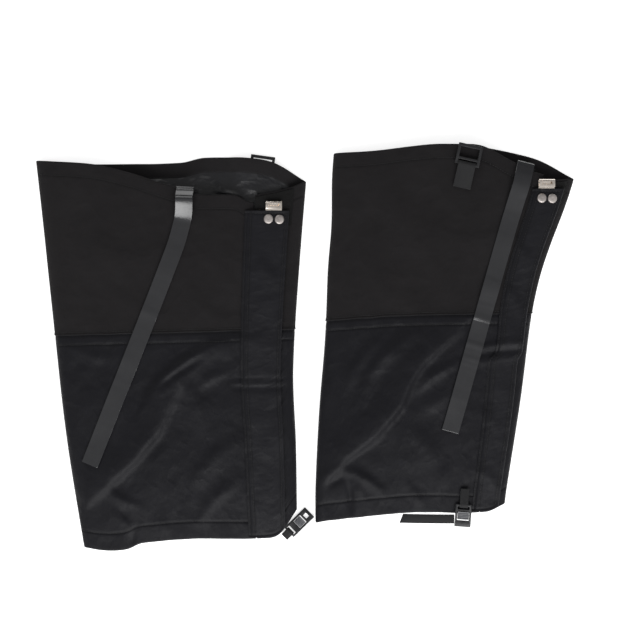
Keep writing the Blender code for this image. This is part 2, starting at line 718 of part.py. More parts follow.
def make_lace_hook(shell, holder):
    """A riveted plate that turns back over itself beyond the flap's end."""
    sizes = shell.sizes
    (x_a, y_a), (x_b, _) = sizes["rivets"]
    middle_x = (x_a + x_b) / 2
    frame = shell.frame("front", middle_x, y_a)
    z = HOOK_TAPE_IN + HOOK_PLATE / 2
    turn_y = sizes["hook_end"] - y_a - HOOK_RADIUS - HOOK_PLATE / 2
    tip_y = sizes["hook_tip"] - y_a
    path = [(-HOOK_SETBACK, z), (turn_y, z)]
    for angle in (-54, -18, 18, 54):
        turn = math.radians(angle)
        path.append((turn_y + HOOK_RADIUS * math.cos(turn),
                     z + HOOK_RADIUS * (1 + math.sin(turn))))
    path += [(turn_y, z + 2 * HOOK_RADIUS), (tip_y, z + 2 * HOOK_RADIUS)]
    hook = bent_strip(sizes["side"] + "_lace_hook", "nickel", path, HOOK_PLATE,
                      HOOK_WIDTH / 2, frame, holder)
    window = [(tip_y + HOOK_BAR, z + HOOK_RADIUS),
              (turn_y + HOOK_RADIUS - HOOK_BAR + HOOK_PLATE, z + HOOK_RADIUS),
              (turn_y + HOOK_RADIUS - HOOK_BAR + HOOK_PLATE, z + 4 * HOOK_RADIUS),
              (tip_y + HOOK_BAR, z + 4 * HOOK_RADIUS)]
    cutter = prism("hook_window", "nickel", window, HOOK_WINDOW_HALF, frame)
    cutter.hide_render = True
    cutter.display_type = "WIRE"
    cut(hook, cutter)
    return hook


# ---- straps ----

def strap_centre(points, count):
    """Even places along a smooth line through the strap's plan points."""
    lengths = [0.0]
    for a, b in zip(points, points[1:]):
        lengths.append(lengths[-1] + math.dist(a, b))
    x_at = curve([(s, p[0]) for s, p in zip(lengths, points)])
    y_at = curve([(s, p[1]) for s, p in zip(lengths, points)])
    total = lengths[-1]
    places = []
    for i in range(count + 1):
        s = total * (i / count) ** STRAP_CROWDING
        places.append((s, Vector((x_at(s), y_at(s), 0))))
    return places


def make_instep_strap(shell):
    """The strap folds round the boot hem and lies down the front layer."""
    sizes = shell.sizes
    side = sizes["side"]
    plan = sizes["strap"]
    half = STRAP_WIDTH / 2
    edge = Vector((*plan[0], 0))
    down = (Vector((*plan[1], 0)) - edge).normalized()
    across = Vector((-down.y, down.x, 0))

    # local Y points back along the strap towards the mouth, and X leans with the shell
    sides = [shell.front_top(*(edge + across * x).to_2d()) for x in (-half, half)]
    leaning = Vector((across.x, across.y, (sides[1] - sides[0]) / STRAP_WIDTH)).normalized()
    up = leaning.cross(-down)
    middle = Vector((edge.x, edge.y, sum(sides) / 2 - SHELL_OUT)) + up * TURN_CENTRE
    place = Matrix((leaning, -down, up)).transposed().to_4x4()
    place = Matrix.Translation(middle) @ place
    arc = [math.radians(a) for a in (-90, -60, -30, -3)]
    root = [(-STRAP_ROOT, -TURN_RADIUS)]
    root += [(TURN_RADIUS * math.cos(a), TURN_RADIUS * math.sin(a)) for a in arc]
    bent_strip(side + "_instep_strap_root", "webbing", root, STRAP, half, place)
    patch_z = -TURN_RADIUS - STRAP / 2 - GAP - BAND / 2
    patch_end = -PATCH_START - PATCH_LENGTH
    patch = [(patch_end, patch_z - BAND / 2), (-PATCH_START, patch_z - BAND / 2),
             (-PATCH_START, patch_z + BAND / 2), (patch_end, patch_z + BAND / 2)]
    prism(side + "_strap_anchor_patch", "heavy_cloth", patch, half + PATCH_MARGIN, place)

    hinge = place @ Vector((0, TURN_RADIUS + STRAP / 2, 0))
    holder = add_axis(side + "_strap_axis", hinge, -leaning)
    outer = []
    inner = []
    for angle in (5, 32, 60, 88):
        turn = math.radians(angle)
        for grid, radius in ((outer, TURN_RADIUS + STRAP / 2), (inner, TURN_RADIUS - STRAP / 2)):
            y = radius * math.cos(turn)
            z = radius * math.sin(turn)
            grid.append([place @ Vector((x, y, z)) for x in (-half, half)])
    lay_strap(shell, outer, inner, half, across)
    slab(side + "_instep_strap", "webbing", outer, inner, holder)


def lay_strap(shell, outer, inner, half, across):
    """Carry the strap on from its turn, down over the front layer, to its square end."""
    sizes = shell.sizes
    places = strap_centre(sizes["strap"], STRAP_ROWS)
    for i in range(1, len(places)):
        s, centre = places[i]
        ahead = places[min(i + 1, len(places) - 1)][1]
        along = (ahead - places[i - 1][1]).normalized()
        sideways = Vector((-along.y, along.x, 0))
        hump = sizes["strap_hump"] * math.exp(-((s - HUMP_PLACE) / HUMP_LENGTH) ** 2)
        low = []
        high = []
        for x in (-half, half):
            corner = centre + sideways * x
            corner.z = shell.front_top(corner.x, corner.y) + 2 * GAP + hump
            low.append(corner)
            high.append(corner + Vector((0, 0, STRAP)))
        inner.append(low)
        outer.append(high)


def webbing_loop(name, look, width, tail, place):
    """A folded tab: two plies of webbing that meet behind the bar they go round."""
    ply = (WEBBING + PLY_GAP) / 2
    root = -LOOP_OUTER - LOOP_THROAT
    path = [(root - tail, -ply), (root, -ply), (-LOOP_FLAT, -LOOP_RADIUS)]
    for angle in (-75, -45, -15, 15, 45, 75):
        turn = math.radians(angle)
        path.append((LOOP_RADIUS * math.cos(turn), LOOP_RADIUS * math.sin(turn)))
    path += [(-LOOP_FLAT, LOOP_RADIUS), (root, ply), (root - tail, ply)]
    return bent_strip(name, look, path, WEBBING, width / 2, place)


def placing(x, y, z, yaw, pitch=0.0):
    """Local Y to a buckle's free end, turned by yaw in plan and by pitch up or down."""
    turn = Matrix.Rotation(math.radians(yaw), 4, "Z") @ Matrix.Rotation(math.radians(pitch), 4, "X")
    return Matrix.Translation(Vector((x, y, z))) @ turn


def make_strap_buckle(shell):
    """Ladder frame for the instep strap, hinged on a webbing tab."""
    sizes = shell.sizes
    side = sizes["side"]
    x, y, yaw = sizes["strap_buckle"]
    if sizes["strap_buckle_under"]:
        z = GAP + LOOP_OUTER
    else:
        z = shell.front_top(x, y) + 2 * GAP + LOOP_OUTER
    place = placing(x, y, z, yaw)
    webbing_loop(side + "_buckle_tab", "webbing", STRAP_WIDTH, sizes["strap_buckle_tab"], place)
    holder = add_axis(side + "_strap_buckle_axis", Vector((x, y, z)),
                      place.to_3x3() @ Vector((1, 0, 0)))
    inner = BUCKLE_HALF_WIDTH - BUCKLE_RAIL
    xs = (-BUCKLE_HALF_WIDTH, -inner, inner, BUCKLE_HALF_WIDTH)
    ys = (-BAR / 2, BAR / 2, SLOT_END, LADDER_BAR_END, WINDOW_END, BUCKLE_END)
    lattice(side + "_strap_buckle", "plastic", xs, ys, {(1, 1), (1, 3)}, BAR, place, holder)


def make_calf_buckle(shell):
    """Cam buckle of the draw strap: webbing loop, frame and cam lever."""
    sizes = shell.sizes
    side = sizes["side"]
    x, y, yaw = sizes["calf_buckle"]
    if sizes["calf_on_floor"]:
        z = GAP + LOOP_OUTER
    else:
        z = shell.front_top(x, y) + 2 * GAP + LOOP_OUTER
    place = placing(x, y, z, yaw, sizes["calf_pitch"])
    webbing_loop(side + "_calf_buckle_loop", "webbing", CALF_LOOP_WIDTH, sizes["calf_tab"], place)
    half = sizes["calf_buckle_half_width"]
    rail = half - CALF_RAIL
    window = sizes["calf_window"]
    window_end = window + CAM_WINDOW
    xs = [-half, -rail, -PULL_HOLE_HALF, PULL_HOLE_HALF, rail, half]
    ys = [-BAR / 2, BAR / 2, SLOT_END, window, window_end]
    openings = {(i, row) for i in (1, 2, 3) for row in (1, 3)}
    if sizes["calf_hole"]:
        ys += list(sizes["calf_hole"])
        openings.add((2, 5))
    ys.append(sizes["calf_end"])
    lattice(side + "_calf_buckle_frame", "plastic", xs, ys, openings, BAR, place)

    top = BAR / 2 + CAM_PROUD
    foot = window + CAM_SIDE_GAP
    pivot = place @ Vector((0, foot, top))
    holder = add_axis(side + "_cam_axis", pivot, place.to_3x3() @ Vector((1, 0, 0)))
    base = top - CAM_HEIGHT
    profile = [(foot, top), (foot, base + CAM_CHAMFER), (foot + CAM_CHAMFER, base),
               (foot + CAM_LENGTH, base), (foot + CAM_LENGTH, top)]
    pitch = (CAM_LENGTH - 2 * RIB_MARGIN) / CAM_RIBS
    for i in reversed(range(CAM_RIBS)):
        rib = foot + RIB_MARGIN + i * pitch
        profile += [(rib + pitch * 0.75, top), (rib + pitch * 0.5, top - RIB_DEPTH),
                    (rib + pitch * 0.25, top - RIB_DEPTH)]
    prism(side + "_calf_buckle_cam", "grey_plastic", profile, rail - CAM_SIDE_GAP, place, holder)
    return place, half


def make_strap_tail(sizes, place, half):
    """Free end of the draw strap: level from the buckle's side along the calf end's edge."""
    beyond, forward = sizes["tail_start"]
    end_x, middle_y = sizes["tail_end"]
    start = place @ Vector((half + beyond, forward, 0))
    run = start.x - end_x
    half_width = DRAW_WIDTH / 2
    half_thick = Vector((0, 0, WEBBING / 2))
    outer = []
    inner = []
    for t in spread(0, 1, TAIL_ROWS):
        x = start.x - run * t
        z = start.z - sizes["tail_drop"] * t * t
        tip = sizes["tail_point"] if t == 1 else 0.0
        low = [Vector((x - tip, middle_y - half_width, z)),
               Vector((x, middle_y + half_width, z))]
        inner.append([p - half_thick for p in low])
        outer.append([p + half_thick for p in low])
    pivot = Vector((start.x, middle_y, start.z + WEBBING / 2))
    holder = add_axis(sizes["side"] + "_tail_axis", pivot, Vector((0, 1, 0)))
    slab(sizes["side"] + "_draw_strap_tail", "webbing", outer, inner, holder)


def centre_on_footprint():
    """Put the origin in the middle of the pair's footprint, on the floor."""
    bpy.context.view_layer.update()
    corners = [o.matrix_world @ v.co for o in bpy.data.objects if o.type == "MESH"
               for v in o.data.vertices]
    low = Vector([min(p[i] for p in corners) for i in range(3)])
    high = Vector([max(p[i] for p in corners) for i in range(3)])
    shift = Vector(((low.x + high.x) / 2, (low.y + high.y) / 2, low.z))
    for piece in bpy.data.objects:
        if not piece.parent:
            piece.location -= shift
    bpy.context.view_layer.update()


def main():
    clear_scene()
    for sizes in (LEFT, RIGHT):
        shell = Shell(sizes)
        make_panels(shell)
        make_closure(shell)
        make_instep_strap(shell)
        make_strap_buckle(shell)
        place, half = make_calf_buckle(shell)
        if sizes is RIGHT:
            make_strap_tail(sizes, place, half)
    centre_on_footprint()


main()
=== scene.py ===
# %% [markdown]
# # A pair of hiking gaiters, laid flat
# A gaiter is a cloth tube that closes round a boot and a calf. The lower half, by the boot, is a
# heavy matte cloth. The upper half, by the calf, is a light nylon with a soft sheen. Each one
# closes with a storm flap, is held under the boot by a strap, and hooks onto the laces.
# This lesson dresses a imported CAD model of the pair. The model gives the bodies and the joints,
# and the pieces made here are cut, folded, creased and stitched to fit round it.

import json
import math

import bpy
import numpy as np
from mathutils import Matrix, Vector, noise

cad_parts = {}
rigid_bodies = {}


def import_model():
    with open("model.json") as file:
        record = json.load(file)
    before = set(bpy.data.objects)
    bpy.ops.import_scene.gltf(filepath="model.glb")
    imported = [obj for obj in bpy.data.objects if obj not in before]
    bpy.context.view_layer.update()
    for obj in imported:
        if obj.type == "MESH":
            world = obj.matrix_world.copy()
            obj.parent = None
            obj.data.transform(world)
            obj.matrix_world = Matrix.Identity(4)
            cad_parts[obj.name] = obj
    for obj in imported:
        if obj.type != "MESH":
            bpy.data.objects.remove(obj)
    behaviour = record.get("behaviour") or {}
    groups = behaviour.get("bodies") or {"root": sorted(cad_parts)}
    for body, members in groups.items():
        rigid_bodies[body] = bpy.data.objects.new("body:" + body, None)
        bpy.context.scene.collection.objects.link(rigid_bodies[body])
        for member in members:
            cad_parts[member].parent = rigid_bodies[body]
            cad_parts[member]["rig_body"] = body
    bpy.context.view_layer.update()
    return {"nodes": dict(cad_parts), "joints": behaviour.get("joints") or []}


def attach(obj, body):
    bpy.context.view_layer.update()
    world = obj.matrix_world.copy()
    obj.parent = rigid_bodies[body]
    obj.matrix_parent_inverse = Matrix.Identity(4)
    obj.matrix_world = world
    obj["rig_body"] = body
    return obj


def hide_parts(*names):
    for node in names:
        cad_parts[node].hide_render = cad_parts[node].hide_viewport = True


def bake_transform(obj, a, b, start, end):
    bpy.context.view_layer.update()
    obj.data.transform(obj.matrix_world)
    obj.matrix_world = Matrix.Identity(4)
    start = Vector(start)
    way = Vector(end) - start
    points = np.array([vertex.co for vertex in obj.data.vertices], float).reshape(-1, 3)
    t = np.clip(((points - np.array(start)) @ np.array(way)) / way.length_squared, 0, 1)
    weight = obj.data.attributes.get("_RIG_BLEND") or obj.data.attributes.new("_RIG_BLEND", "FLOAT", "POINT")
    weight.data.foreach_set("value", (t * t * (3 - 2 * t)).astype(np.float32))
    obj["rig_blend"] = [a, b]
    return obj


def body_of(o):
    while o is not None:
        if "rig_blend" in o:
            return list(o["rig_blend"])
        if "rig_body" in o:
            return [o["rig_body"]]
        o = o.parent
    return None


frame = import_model()

# %% [markdown]
# ## Camera, floor and light
# The pair is seen from straight above, so the camera hangs over the middle of the view and a
# long lens keeps the sides from leaning. The floor is a pale sheet of paper. The light is a big
# soft panel off the calf end, with a weaker one off the boot end. Black cloth shows its shape
# mostly through soft reflections, so one end is kept brighter than the other.

# %% Camera
VIEW_MIDDLE = (0.0166, 0.0293)
VIEW_WIDTH = 0.704
CAMERA_HEIGHT = 1.75
SURFACE_HEIGHT = 0.012

camera_data = bpy.data.cameras.new("camera")
camera_data.sensor_width = 36.0
camera_data.lens = 36.0 * (CAMERA_HEIGHT - SURFACE_HEIGHT) / VIEW_WIDTH
camera = bpy.data.objects.new("camera", camera_data)
camera.location = (*VIEW_MIDDLE, CAMERA_HEIGHT)
bpy.context.scene.collection.objects.link(camera)
bpy.context.scene.camera = camera
print("lens", round(camera_data.lens, 1), "mm")

# %% Floor
FLOOR_GLOW = 0.65


def nothing_selected():
    """Operators act on all that is selected, so each new piece starts from nothing."""
    for thing in bpy.context.selected_objects:
        thing.select_set(False)


def shader_of(material):
    return material.node_tree.nodes["Principled BSDF"]


nothing_selected()
bpy.ops.mesh.primitive_plane_add(size=8.0, location=(*VIEW_MIDDLE, -0.0003))
floor = bpy.context.active_object
floor.name = "floor"
paper = bpy.data.materials.new("white_paper")
paper.use_nodes = True
shader_of(paper).inputs["Base Color"].default_value = (0.93, 0.93, 0.93, 1.0)
shader_of(paper).inputs["Roughness"].default_value = 0.95
shader_of(paper).inputs["Specular IOR Level"].default_value = 0.15
shader_of(paper).inputs["Emission Color"].default_value = (1.0, 1.0, 1.0, 1.0)
shader_of(paper).inputs["Emission Strength"].default_value = FLOOR_GLOW
floor.data.materials.append(paper)

# %% [markdown]
# The floor gives off light of its own, so that it stays white and shows hardly any shadow. The
# surroundings are dimmer towards the boot end, so the side of a fold that faces that end is left
# the darker one.

# %% Lights
LIGHTS = {
    "calf_end_panel": {"place": (0.12, -1.28, 1.20), "size": (2.0, 1.0), "power": 31.0},
    "boot_end_panel": {"place": (-0.55, 1.55, 1.00), "size": (0.9, 0.9), "power": 5.0},
}
CALF_END_SKY, BOOT_END_SKY = 0.74, 0.10   # strength of the surroundings at each end
SKY_REACH = 0.9                           # how far a ray leans in Y when it meets them

for name, lamp in LIGHTS.items():
    data = bpy.data.lights.new(name, "AREA")
    data.shape = "RECTANGLE"
    data.size, data.size_y = lamp["size"]
    data.energy = lamp["power"]
    light = bpy.data.objects.new(name, data)
    light.location = lamp["place"]
    aim = Vector((0.0, 0.0, 0.0)) - light.location
    light.rotation_euler = aim.to_track_quat("-Z", "Y").to_euler()
    bpy.context.scene.collection.objects.link(light)

world = bpy.data.worlds.new("studio")
world.use_nodes = True
world.node_tree.nodes["Background"].inputs["Color"].default_value = (1.0, 1.0, 1.0, 1.0)
bpy.context.scene.world = world
sky = world.node_tree
looking = sky.nodes.new("ShaderNodeTexCoord")
parts = sky.nodes.new("ShaderNodeSeparateXYZ")
dimming = sky.nodes.new("ShaderNodeMapRange")
dimming.inputs["From Min"].default_value = -SKY_REACH
dimming.inputs["From Max"].default_value = SKY_REACH
dimming.inputs["To Min"].default_value = CALF_END_SKY
dimming.inputs["To Max"].default_value = BOOT_END_SKY
sky.links.new(looking.outputs["Generated"], parts.inputs["Vector"])
sky.links.new(parts.outputs["Y"], dimming.inputs["Value"])
sky.links.new(dimming.outputs["Result"], sky.nodes["Background"].inputs["Strength"])
bpy.context.scene.view_settings.view_transform = "Standard"
print("lights", len(LIGHTS))

# %% [markdown]
# ## The pattern pieces' sizes
# These are the same measures that the CAD source uses, in metres. Outlines run from the calf
# end (0) to the boot end (1). Edges run across from the rear fold (0) to the closure fold (1).
# They are repeated here because a cloth piece has to follow the same curved section as the
# solid it stands for.

# %% Sizes of the cloth
CLOTH = 0.0012
FOLD_SHARE = 0.055
BACK_RISE = 0.0045
FRONT_RISE = 0.0052
CROWN = 0.0085
LIFT_HALF_WIDTH = 0.034
PANEL_GAP = 0.0004
HEM_DEPTH = 0.016
CALF_HEM_DEPTH = 0.020
FLAP_MARGIN = 0.032
STRAP = 0.0016
STRAP_WIDTH = 0.019
DRAW_WIDTH = 0.010
SHELL_OUT = CLOTH / 2
FLOOR_CLEARANCE = 0.00056   # lowest middle of a cloth, so that its outer face clears the floor
LOOP_TAPE_IN = 0.0009
HOOK_TAPE_IN = 0.0020
FLAP_IN = 0.0031
FLAP_OUT = 0.0047
TURN_RADIUS = 0.0025
TURN_CENTRE = -0.00065
FRAME_SHIFT = Vector((-0.000135, -0.00135, 0.0))   # the frame's origin is under the middle

LEFT = {
    "side": "left", "calf_line": -0.2235, "length": 0.4340,
    "width": [(0, 0.234), (0.26, 0.251), (0.47, 0.259), (0.76, 0.280), (1, 0.300)],
    "centre": [(0, -0.1256), (0.26, -0.1355), (0.47, -0.1425), (1, -0.1468)],
    "puff": [(0, 0.62), (0.15, 0.92), (0.5, 1.0), (0.85, 1.0), (1, 0.82)],
    "calf_rise": [(0, 0.003), (0.1, 0.001), (0.2, 0.002), (0.28, 0.009), (0.5, 0.0135),
                  (0.84, 0.0140), (0.92, 0.0190), (1, 0.0440)],
    "back_drop": [(0, 0.0047), (0.2, 0.008), (0.53, 0.0065), (0.62, 0.0005), (0.79, 0.0022),
                  (0.88, 0.0076), (1, 0.0270)],
    "front_drop": [(0, 0.0047), (0.2, 0.0085), (0.34, 0.0185), (0.525, 0.0359),
                   (0.6, 0.0421), (0.74, 0.0432), (0.786, 0.0500), (0.84, 0.0520)],
    "placket_drop": [(0.8, 0.0440), (0.95, 0.0340), (1, 0.0280)],
    "seam_height": [(0, 0.2370), (1, 0.2440)],
    "ankle_height": 0.1860, "flap": (0.778, 0.945), "flap_drop": 0.0600,
    "lift": [(0.1300, 0), (0.1600, 0.0032), (0.1760, 0.0056), (0.1880, 0.0071),
             (0.2060, 0.0108)],
    "lift_middle": -0.0466,
    "rivets": [(-0.0402, 0.1413), (-0.0283, 0.1409)],
    "strap": [(-0.1312, 0.1740), (-0.1332, 0.1384), (-0.1423, 0.1087), (-0.2359, -0.1283)],
    "strap_buckle": (-0.0490, 0.1905, -8.0), "strap_buckle_under": True,
    "calf_buckle": (-0.0168, -0.2034, -45.6), "calf_on_floor": True,
}

RIGHT = {
    "side": "right", "calf_line": -0.1933, "length": 0.4168,
    "width": [(0, 0.206), (0.3, 0.220), (0.55, 0.226), (0.74, 0.243), (0.9, 0.265),
              (1, 0.272)],
    "centre": [(0, 0.1150), (0.1, 0.1176), (0.41, 0.1312), (0.65, 0.1422), (0.83, 0.1579),
               (1, 0.1690)],
    "puff": [(0, 0.62), (0.15, 0.92), (0.5, 1.0), (0.85, 1.0), (1, 0.82)],
    "calf_rise": [(0, 0.001), (0.1, 0.004), (0.3, 0.0085), (0.5, 0.0125), (0.9, 0.0128),
                  (1, 0.0210)],
    "back_drop": [(0, 0.0097), (0.14, 0.0074), (0.4, 0.0003), (0.5, 0.0001), (0.6, 0.0018),
                  (0.75, 0.0097), (0.85, 0.0175), (1, 0.0370)],
    "front_drop": [(0, 0.0097), (0.14, 0.0074), (0.4, 0.0003), (0.5, 0.0001), (0.6, 0.0022),
                   (0.72, 0.0175), (0.82, 0.0298), (0.88, 0.0340)],
    "placket_drop": [(0.8, 0.0350), (0.92, 0.0390), (1, 0.0380)],
    "seam_height": [(0, 0.2230), (0.4, 0.2290), (1, 0.2312)],
    "ankle_height": 0.1880, "flap": (0.836, 0.965), "flap_drop": 0.0488,
    "lift": [(0, 0), (1, 0)], "lift_middle": 0.1690,
    "rivets": [(0.2593, 0.1643), (0.2709, 0.1640)],
    "strap": [(0.2424, 0.2010), (0.2357, 0.1740), (0.2270, 0.1467), (0.1593, -0.0917)],
    "strap_buckle": (0.1775, 0.2010, -12.5), "strap_buckle_under": False,
    "calf_buckle": (0.1745, -0.1727, 176.0), "calf_on_floor": False,
}
GAITERS = (LEFT, RIGHT)

# %% [markdown]
# ## The flattened tube
# Each point of the cloth is found from two numbers: its share of the way across, and its place
# along the gaiter. The back layer lies on the floor and curls up at both folds. The front layer
# starts at the folds and crowns over it. An offset moves the point out of the shell, along its
# normal, which is how the stack of tapes, flap and strap stays parallel.

# %% Curves through measured places
def smooth(points):
    """A smooth function through (place, value) points, level beyond both ends."""
    last = len(points) - 1

    def slope(i):
        low = points[max(i - 1, 0)]
        high = points[min(i + 1, last)]
        return (high[1] - low[1]) / (high[0] - low[0])

    def at(t):
        if t <= points[0][0]:
            return points[0][1]
        if t >= points[last][0]:
            return points[last][1]
        i = max(k for k in range(last) if points[k][0] <= t)
        step = points[i + 1][0] - points[i][0]
        s = (t - points[i][0]) / step
        start = points[i][1] * (1 + 2 * s) * (1 - s) ** 2 + slope(i) * step * s * (1 - s) ** 2
        end = points[i + 1][1] * s * s * (3 - 2 * s) - slope(i + 1) * step * s * s * (1 - s)
        return start + end
    return at


def quarter(q):
    """Height of a quarter circle of radius 1 at distance q from its foot."""
    q = min(max(q, 0.0), 1.0)
    return math.sqrt(1 - (1 - q) ** 2)


def fade(value, low, high):
    """0 at low, 1 at high, and smooth between them."""
    t = min(max((value - low) / (high - low), 0.0), 1.0)
    return t * t * (3 - 2 * t)


def spread(low, high, count):
    """count + 1 even places from low to high."""
    return [low + (high - low) * i / count for i in range(count + 1)]


CURVED = ("width", "centre", "puff", "calf_rise", "back_drop", "front_drop", "placket_drop",
          "seam_height", "lift")
for sizes in GAITERS:
    sizes["at"] = {name: smooth(sizes[name]) for name in CURVED}
print("curves", len(CURVED), "for each gaiter")

# %% [markdown]
# ## Folds and creases
# Cloth that lies flat keeps long folds, as it was handled and put down. Each one is a line on
# the plan, with a height, a steep side and a gentle side. A fold with one steep side looks like
# cloth that slid over itself, where an even bump looks like a hose under a carpet. The rises
# die out at the side folds, and near hard parts that stay where the frame has them.

# %% Folds of each gaiter: line of plan points, height, steep side and gentle side
LEFT["folds"] = [
    ([(-0.0700, 0.0110), (-0.0940, 0.0060), (-0.1174, -0.0060), (-0.1400, -0.0210),
      (-0.1577, -0.0370), (-0.1720, -0.0560)], 0.0046, 0.0190, 0.0055),
    ([(-0.1150, -0.0120), (-0.1290, -0.0200), (-0.1440, -0.0310), (-0.1577, -0.0413)],
     -0.0028, 0.0042, 0.0030),
    ([(-0.1380, -0.0400), (-0.1482, -0.0620), (-0.1614, -0.0904), (-0.1867, -0.1212),
      (-0.2197, -0.1520), (-0.2460, -0.1760)], 0.0052, 0.0055, 0.0230),
    ([(-0.1300, -0.0380), (-0.1190, -0.0640), (-0.1080, -0.0900)], 0.0022, 0.0090, 0.0140),
    ([(-0.0760, -0.0210), (-0.1000, -0.0330), (-0.1180, -0.0450)], 0.0018, 0.0045, 0.0080),
    ([(-0.0730, -0.1040), (-0.0930, -0.1150), (-0.1130, -0.1350), (-0.1250, -0.1560)],
     0.0020, 0.0120, 0.0080),
    ([(-0.0760, -0.1500), (-0.0960, -0.1640), (-0.1150, -0.1880)], 0.0022, 0.0060, 0.0090),
    ([(-0.2160, -0.1560), (-0.1980, -0.1680), (-0.1800, -0.1740)], 0.0022, 0.0040, 0.0070),
    ([(-0.2060, -0.1830), (-0.1930, -0.1960), (-0.1880, -0.2110)], 0.0020, 0.0035, 0.0060),
    ([(-0.1890, -0.2000), (-0.1880, -0.2190)], -0.0024, 0.0025, 0.0040),
    ([(-0.1560, -0.1900), (-0.1500, -0.2050)], 0.0014, 0.0050, 0.0050),
    ([(-0.2600, 0.0020), (-0.2300, -0.0100), (-0.2060, -0.0130)], 0.0012, 0.0060, 0.0060),
    ([(-0.1090, 0.1060), (-0.0960, 0.0870), (-0.0800, 0.0700)], 0.0014, 0.0070, 0.0100),
    ([(-0.2500, 0.1500), (-0.2250, 0.1100), (-0.1900, 0.0800)], 0.0014, 0.0200, 0.0120),
    ([(-0.1200, 0.0500), (-0.0950, 0.0330), (-0.0760, 0.0280)], 0.0012, 0.0070, 0.0080),
    ([(-0.2140, 0.0620), (-0.1750, 0.0390), (-0.1500, 0.0330)], 0.0010, 0.0090, 0.0070),
    ([(-0.0800, -0.0340), (-0.0420, -0.0348), (-0.0150, -0.0345)], -0.0013, 0.0020, 0.0026),
    ([(-0.0800, -0.0385), (-0.0420, -0.0388), (-0.0150, -0.0380)], 0.0012, 0.0020, 0.0022),
    ([(-0.0780, -0.0435), (-0.0420, -0.0428), (-0.0150, -0.0428)], -0.0014, 0.0022, 0.0030),
    ([(-0.0640, 0.0800), (-0.0480, 0.0890), (-0.0320, 0.0760)], 0.0010, 0.0055, 0.0080),
]
RIGHT["folds"] = [
    ([(0.1690, 0.0200), (0.1500, 0.0040), (0.1285, -0.0155), (0.1146, -0.0365),
      (0.1040, -0.0628), (0.0760, -0.0961), (0.0461, -0.1190), (0.0200, -0.1470)],
     0.0060, 0.0050, 0.0290),
    ([(0.1180, 0.0150), (0.1000, 0.0020), (0.0846, -0.0119), (0.0707, -0.0312),
      (0.0636, -0.0541)], 0.0034, 0.0090, 0.0075),
    ([(0.0900, 0.0140), (0.0680, -0.0050), (0.0540, -0.0260), (0.0480, -0.0460)],
     0.0022, 0.0080, 0.0070),
    ([(0.1640, -0.0190), (0.1500, -0.0260), (0.1391, -0.0330), (0.1268, -0.0450)],
     0.0028, 0.0040, 0.0080),
    ([(0.1600, -0.0490), (0.1450, -0.0600), (0.1285, -0.0700)], 0.0018, 0.0070, 0.0090),
    ([(0.0400, -0.1340), (0.0540, -0.1370), (0.0680, -0.1440), (0.0850, -0.1570)],
     0.0026, 0.0040, 0.0075),
    ([(0.0260, -0.1500), (0.0400, -0.1430), (0.0520, -0.1420)], -0.0016, 0.0030, 0.0040),
    ([(0.0470, -0.1480), (0.0500, -0.1600), (0.0520, -0.1800)], -0.0026, 0.0026, 0.0040),
    ([(0.0580, -0.1500), (0.0620, -0.1620)], 0.0018, 0.0040, 0.0050),
    ([(0.1100, -0.1500), (0.1220, -0.1620), (0.1300, -0.1760)], 0.0018, 0.0060, 0.0060),
    ([(0.1560, -0.1300), (0.1500, -0.1500), (0.1440, -0.1640)], 0.0018, 0.0060, 0.0070),
    ([(0.1200, -0.0900), (0.1350, -0.1150), (0.1400, -0.1350)], 0.0016, 0.0130, 0.0130),
    ([(0.0750, 0.1900), (0.1100, 0.1350), (0.1500, 0.0800), (0.1750, 0.0400)],
     0.0020, 0.0170, 0.0160),
    ([(0.2050, 0.1750), (0.1880, 0.1350), (0.1780, 0.0850)], 0.0026, 0.0140, 0.0120),
    ([(0.0420, 0.1100), (0.0850, 0.0700), (0.1100, 0.0420)], 0.0014, 0.0150, 0.0120),
    ([(0.1950, 0.0010), (0.2220, 0.0060), (0.2480, 0.0070)], 0.0016, 0.0030, 0.0040),
    ([(0.1930, -0.0060), (0.2200, -0.0030), (0.2440, -0.0010)], -0.0018, 0.0024, 0.0030),
    ([(0.1900, -0.0150), (0.2180, -0.0110), (0.2400, -0.0100)], 0.0012, 0.0030, 0.0050),
    ([(0.2300, 0.1200), (0.2420, 0.1000), (0.2390, 0.0800)], 0.0014, 0.0050, 0.0070),
    ([(0.2180, 0.0700), (0.2300, 0.0550), (0.2360, 0.0400)], 0.0012, 0.0050, 0.0070),
    ([(0.1960, -0.0700), (0.2120, -0.0850), (0.2180, -0.1020)], 0.0010, 0.0060, 0.0080),
    ([(0.1880, -0.1330), (0.2040, -0.1400), (0.2120, -0.1540)], 0.0012, 0.0050, 0.0060),
]

# %% How far the front layer rises at a place
def across_line(line, x, y):
    """Signed distance from a line, positive on its left, and the share of the way along it."""
    best = (1e9, 0.0, 0.0)
    run = 0.0
    for (ax, ay), (bx, by) in zip(line, line[1:]):
        dx, dy = bx - ax, by - ay
        size = math.hypot(dx, dy)
        t = min(max(((x - ax) * dx + (y - ay) * dy) / (size * size), 0.0), 1.0)
        px, py = x - ax - dx * t, y - ay - dy * t
        away = math.hypot(px, py)
        if away < best[0]:
            best = (away, 1.0 if dx * py - dy * px > 0 else -1.0, run + size * t)
        run += size
    return best[0] * best[1], best[2] / run


def quiet_spots(sizes):
    """Places where the cloth stays as the frame has it: plan point and radius."""
    (ax, ay), (bx, by) = sizes["rivets"]
    spots = [((ax + bx) / 2, (ay + by) / 2 + 0.006, 0.020), (*sizes["strap"][0], 0.020)]
    if not sizes["strap_buckle_under"]:
        x, y, _ = sizes["strap_buckle"]
        spots.append((x, y, 0.030))
    if not sizes["calf_on_floor"]:
        spots.append((*sizes["calf_buckle"][:2], 0.022))
    return spots


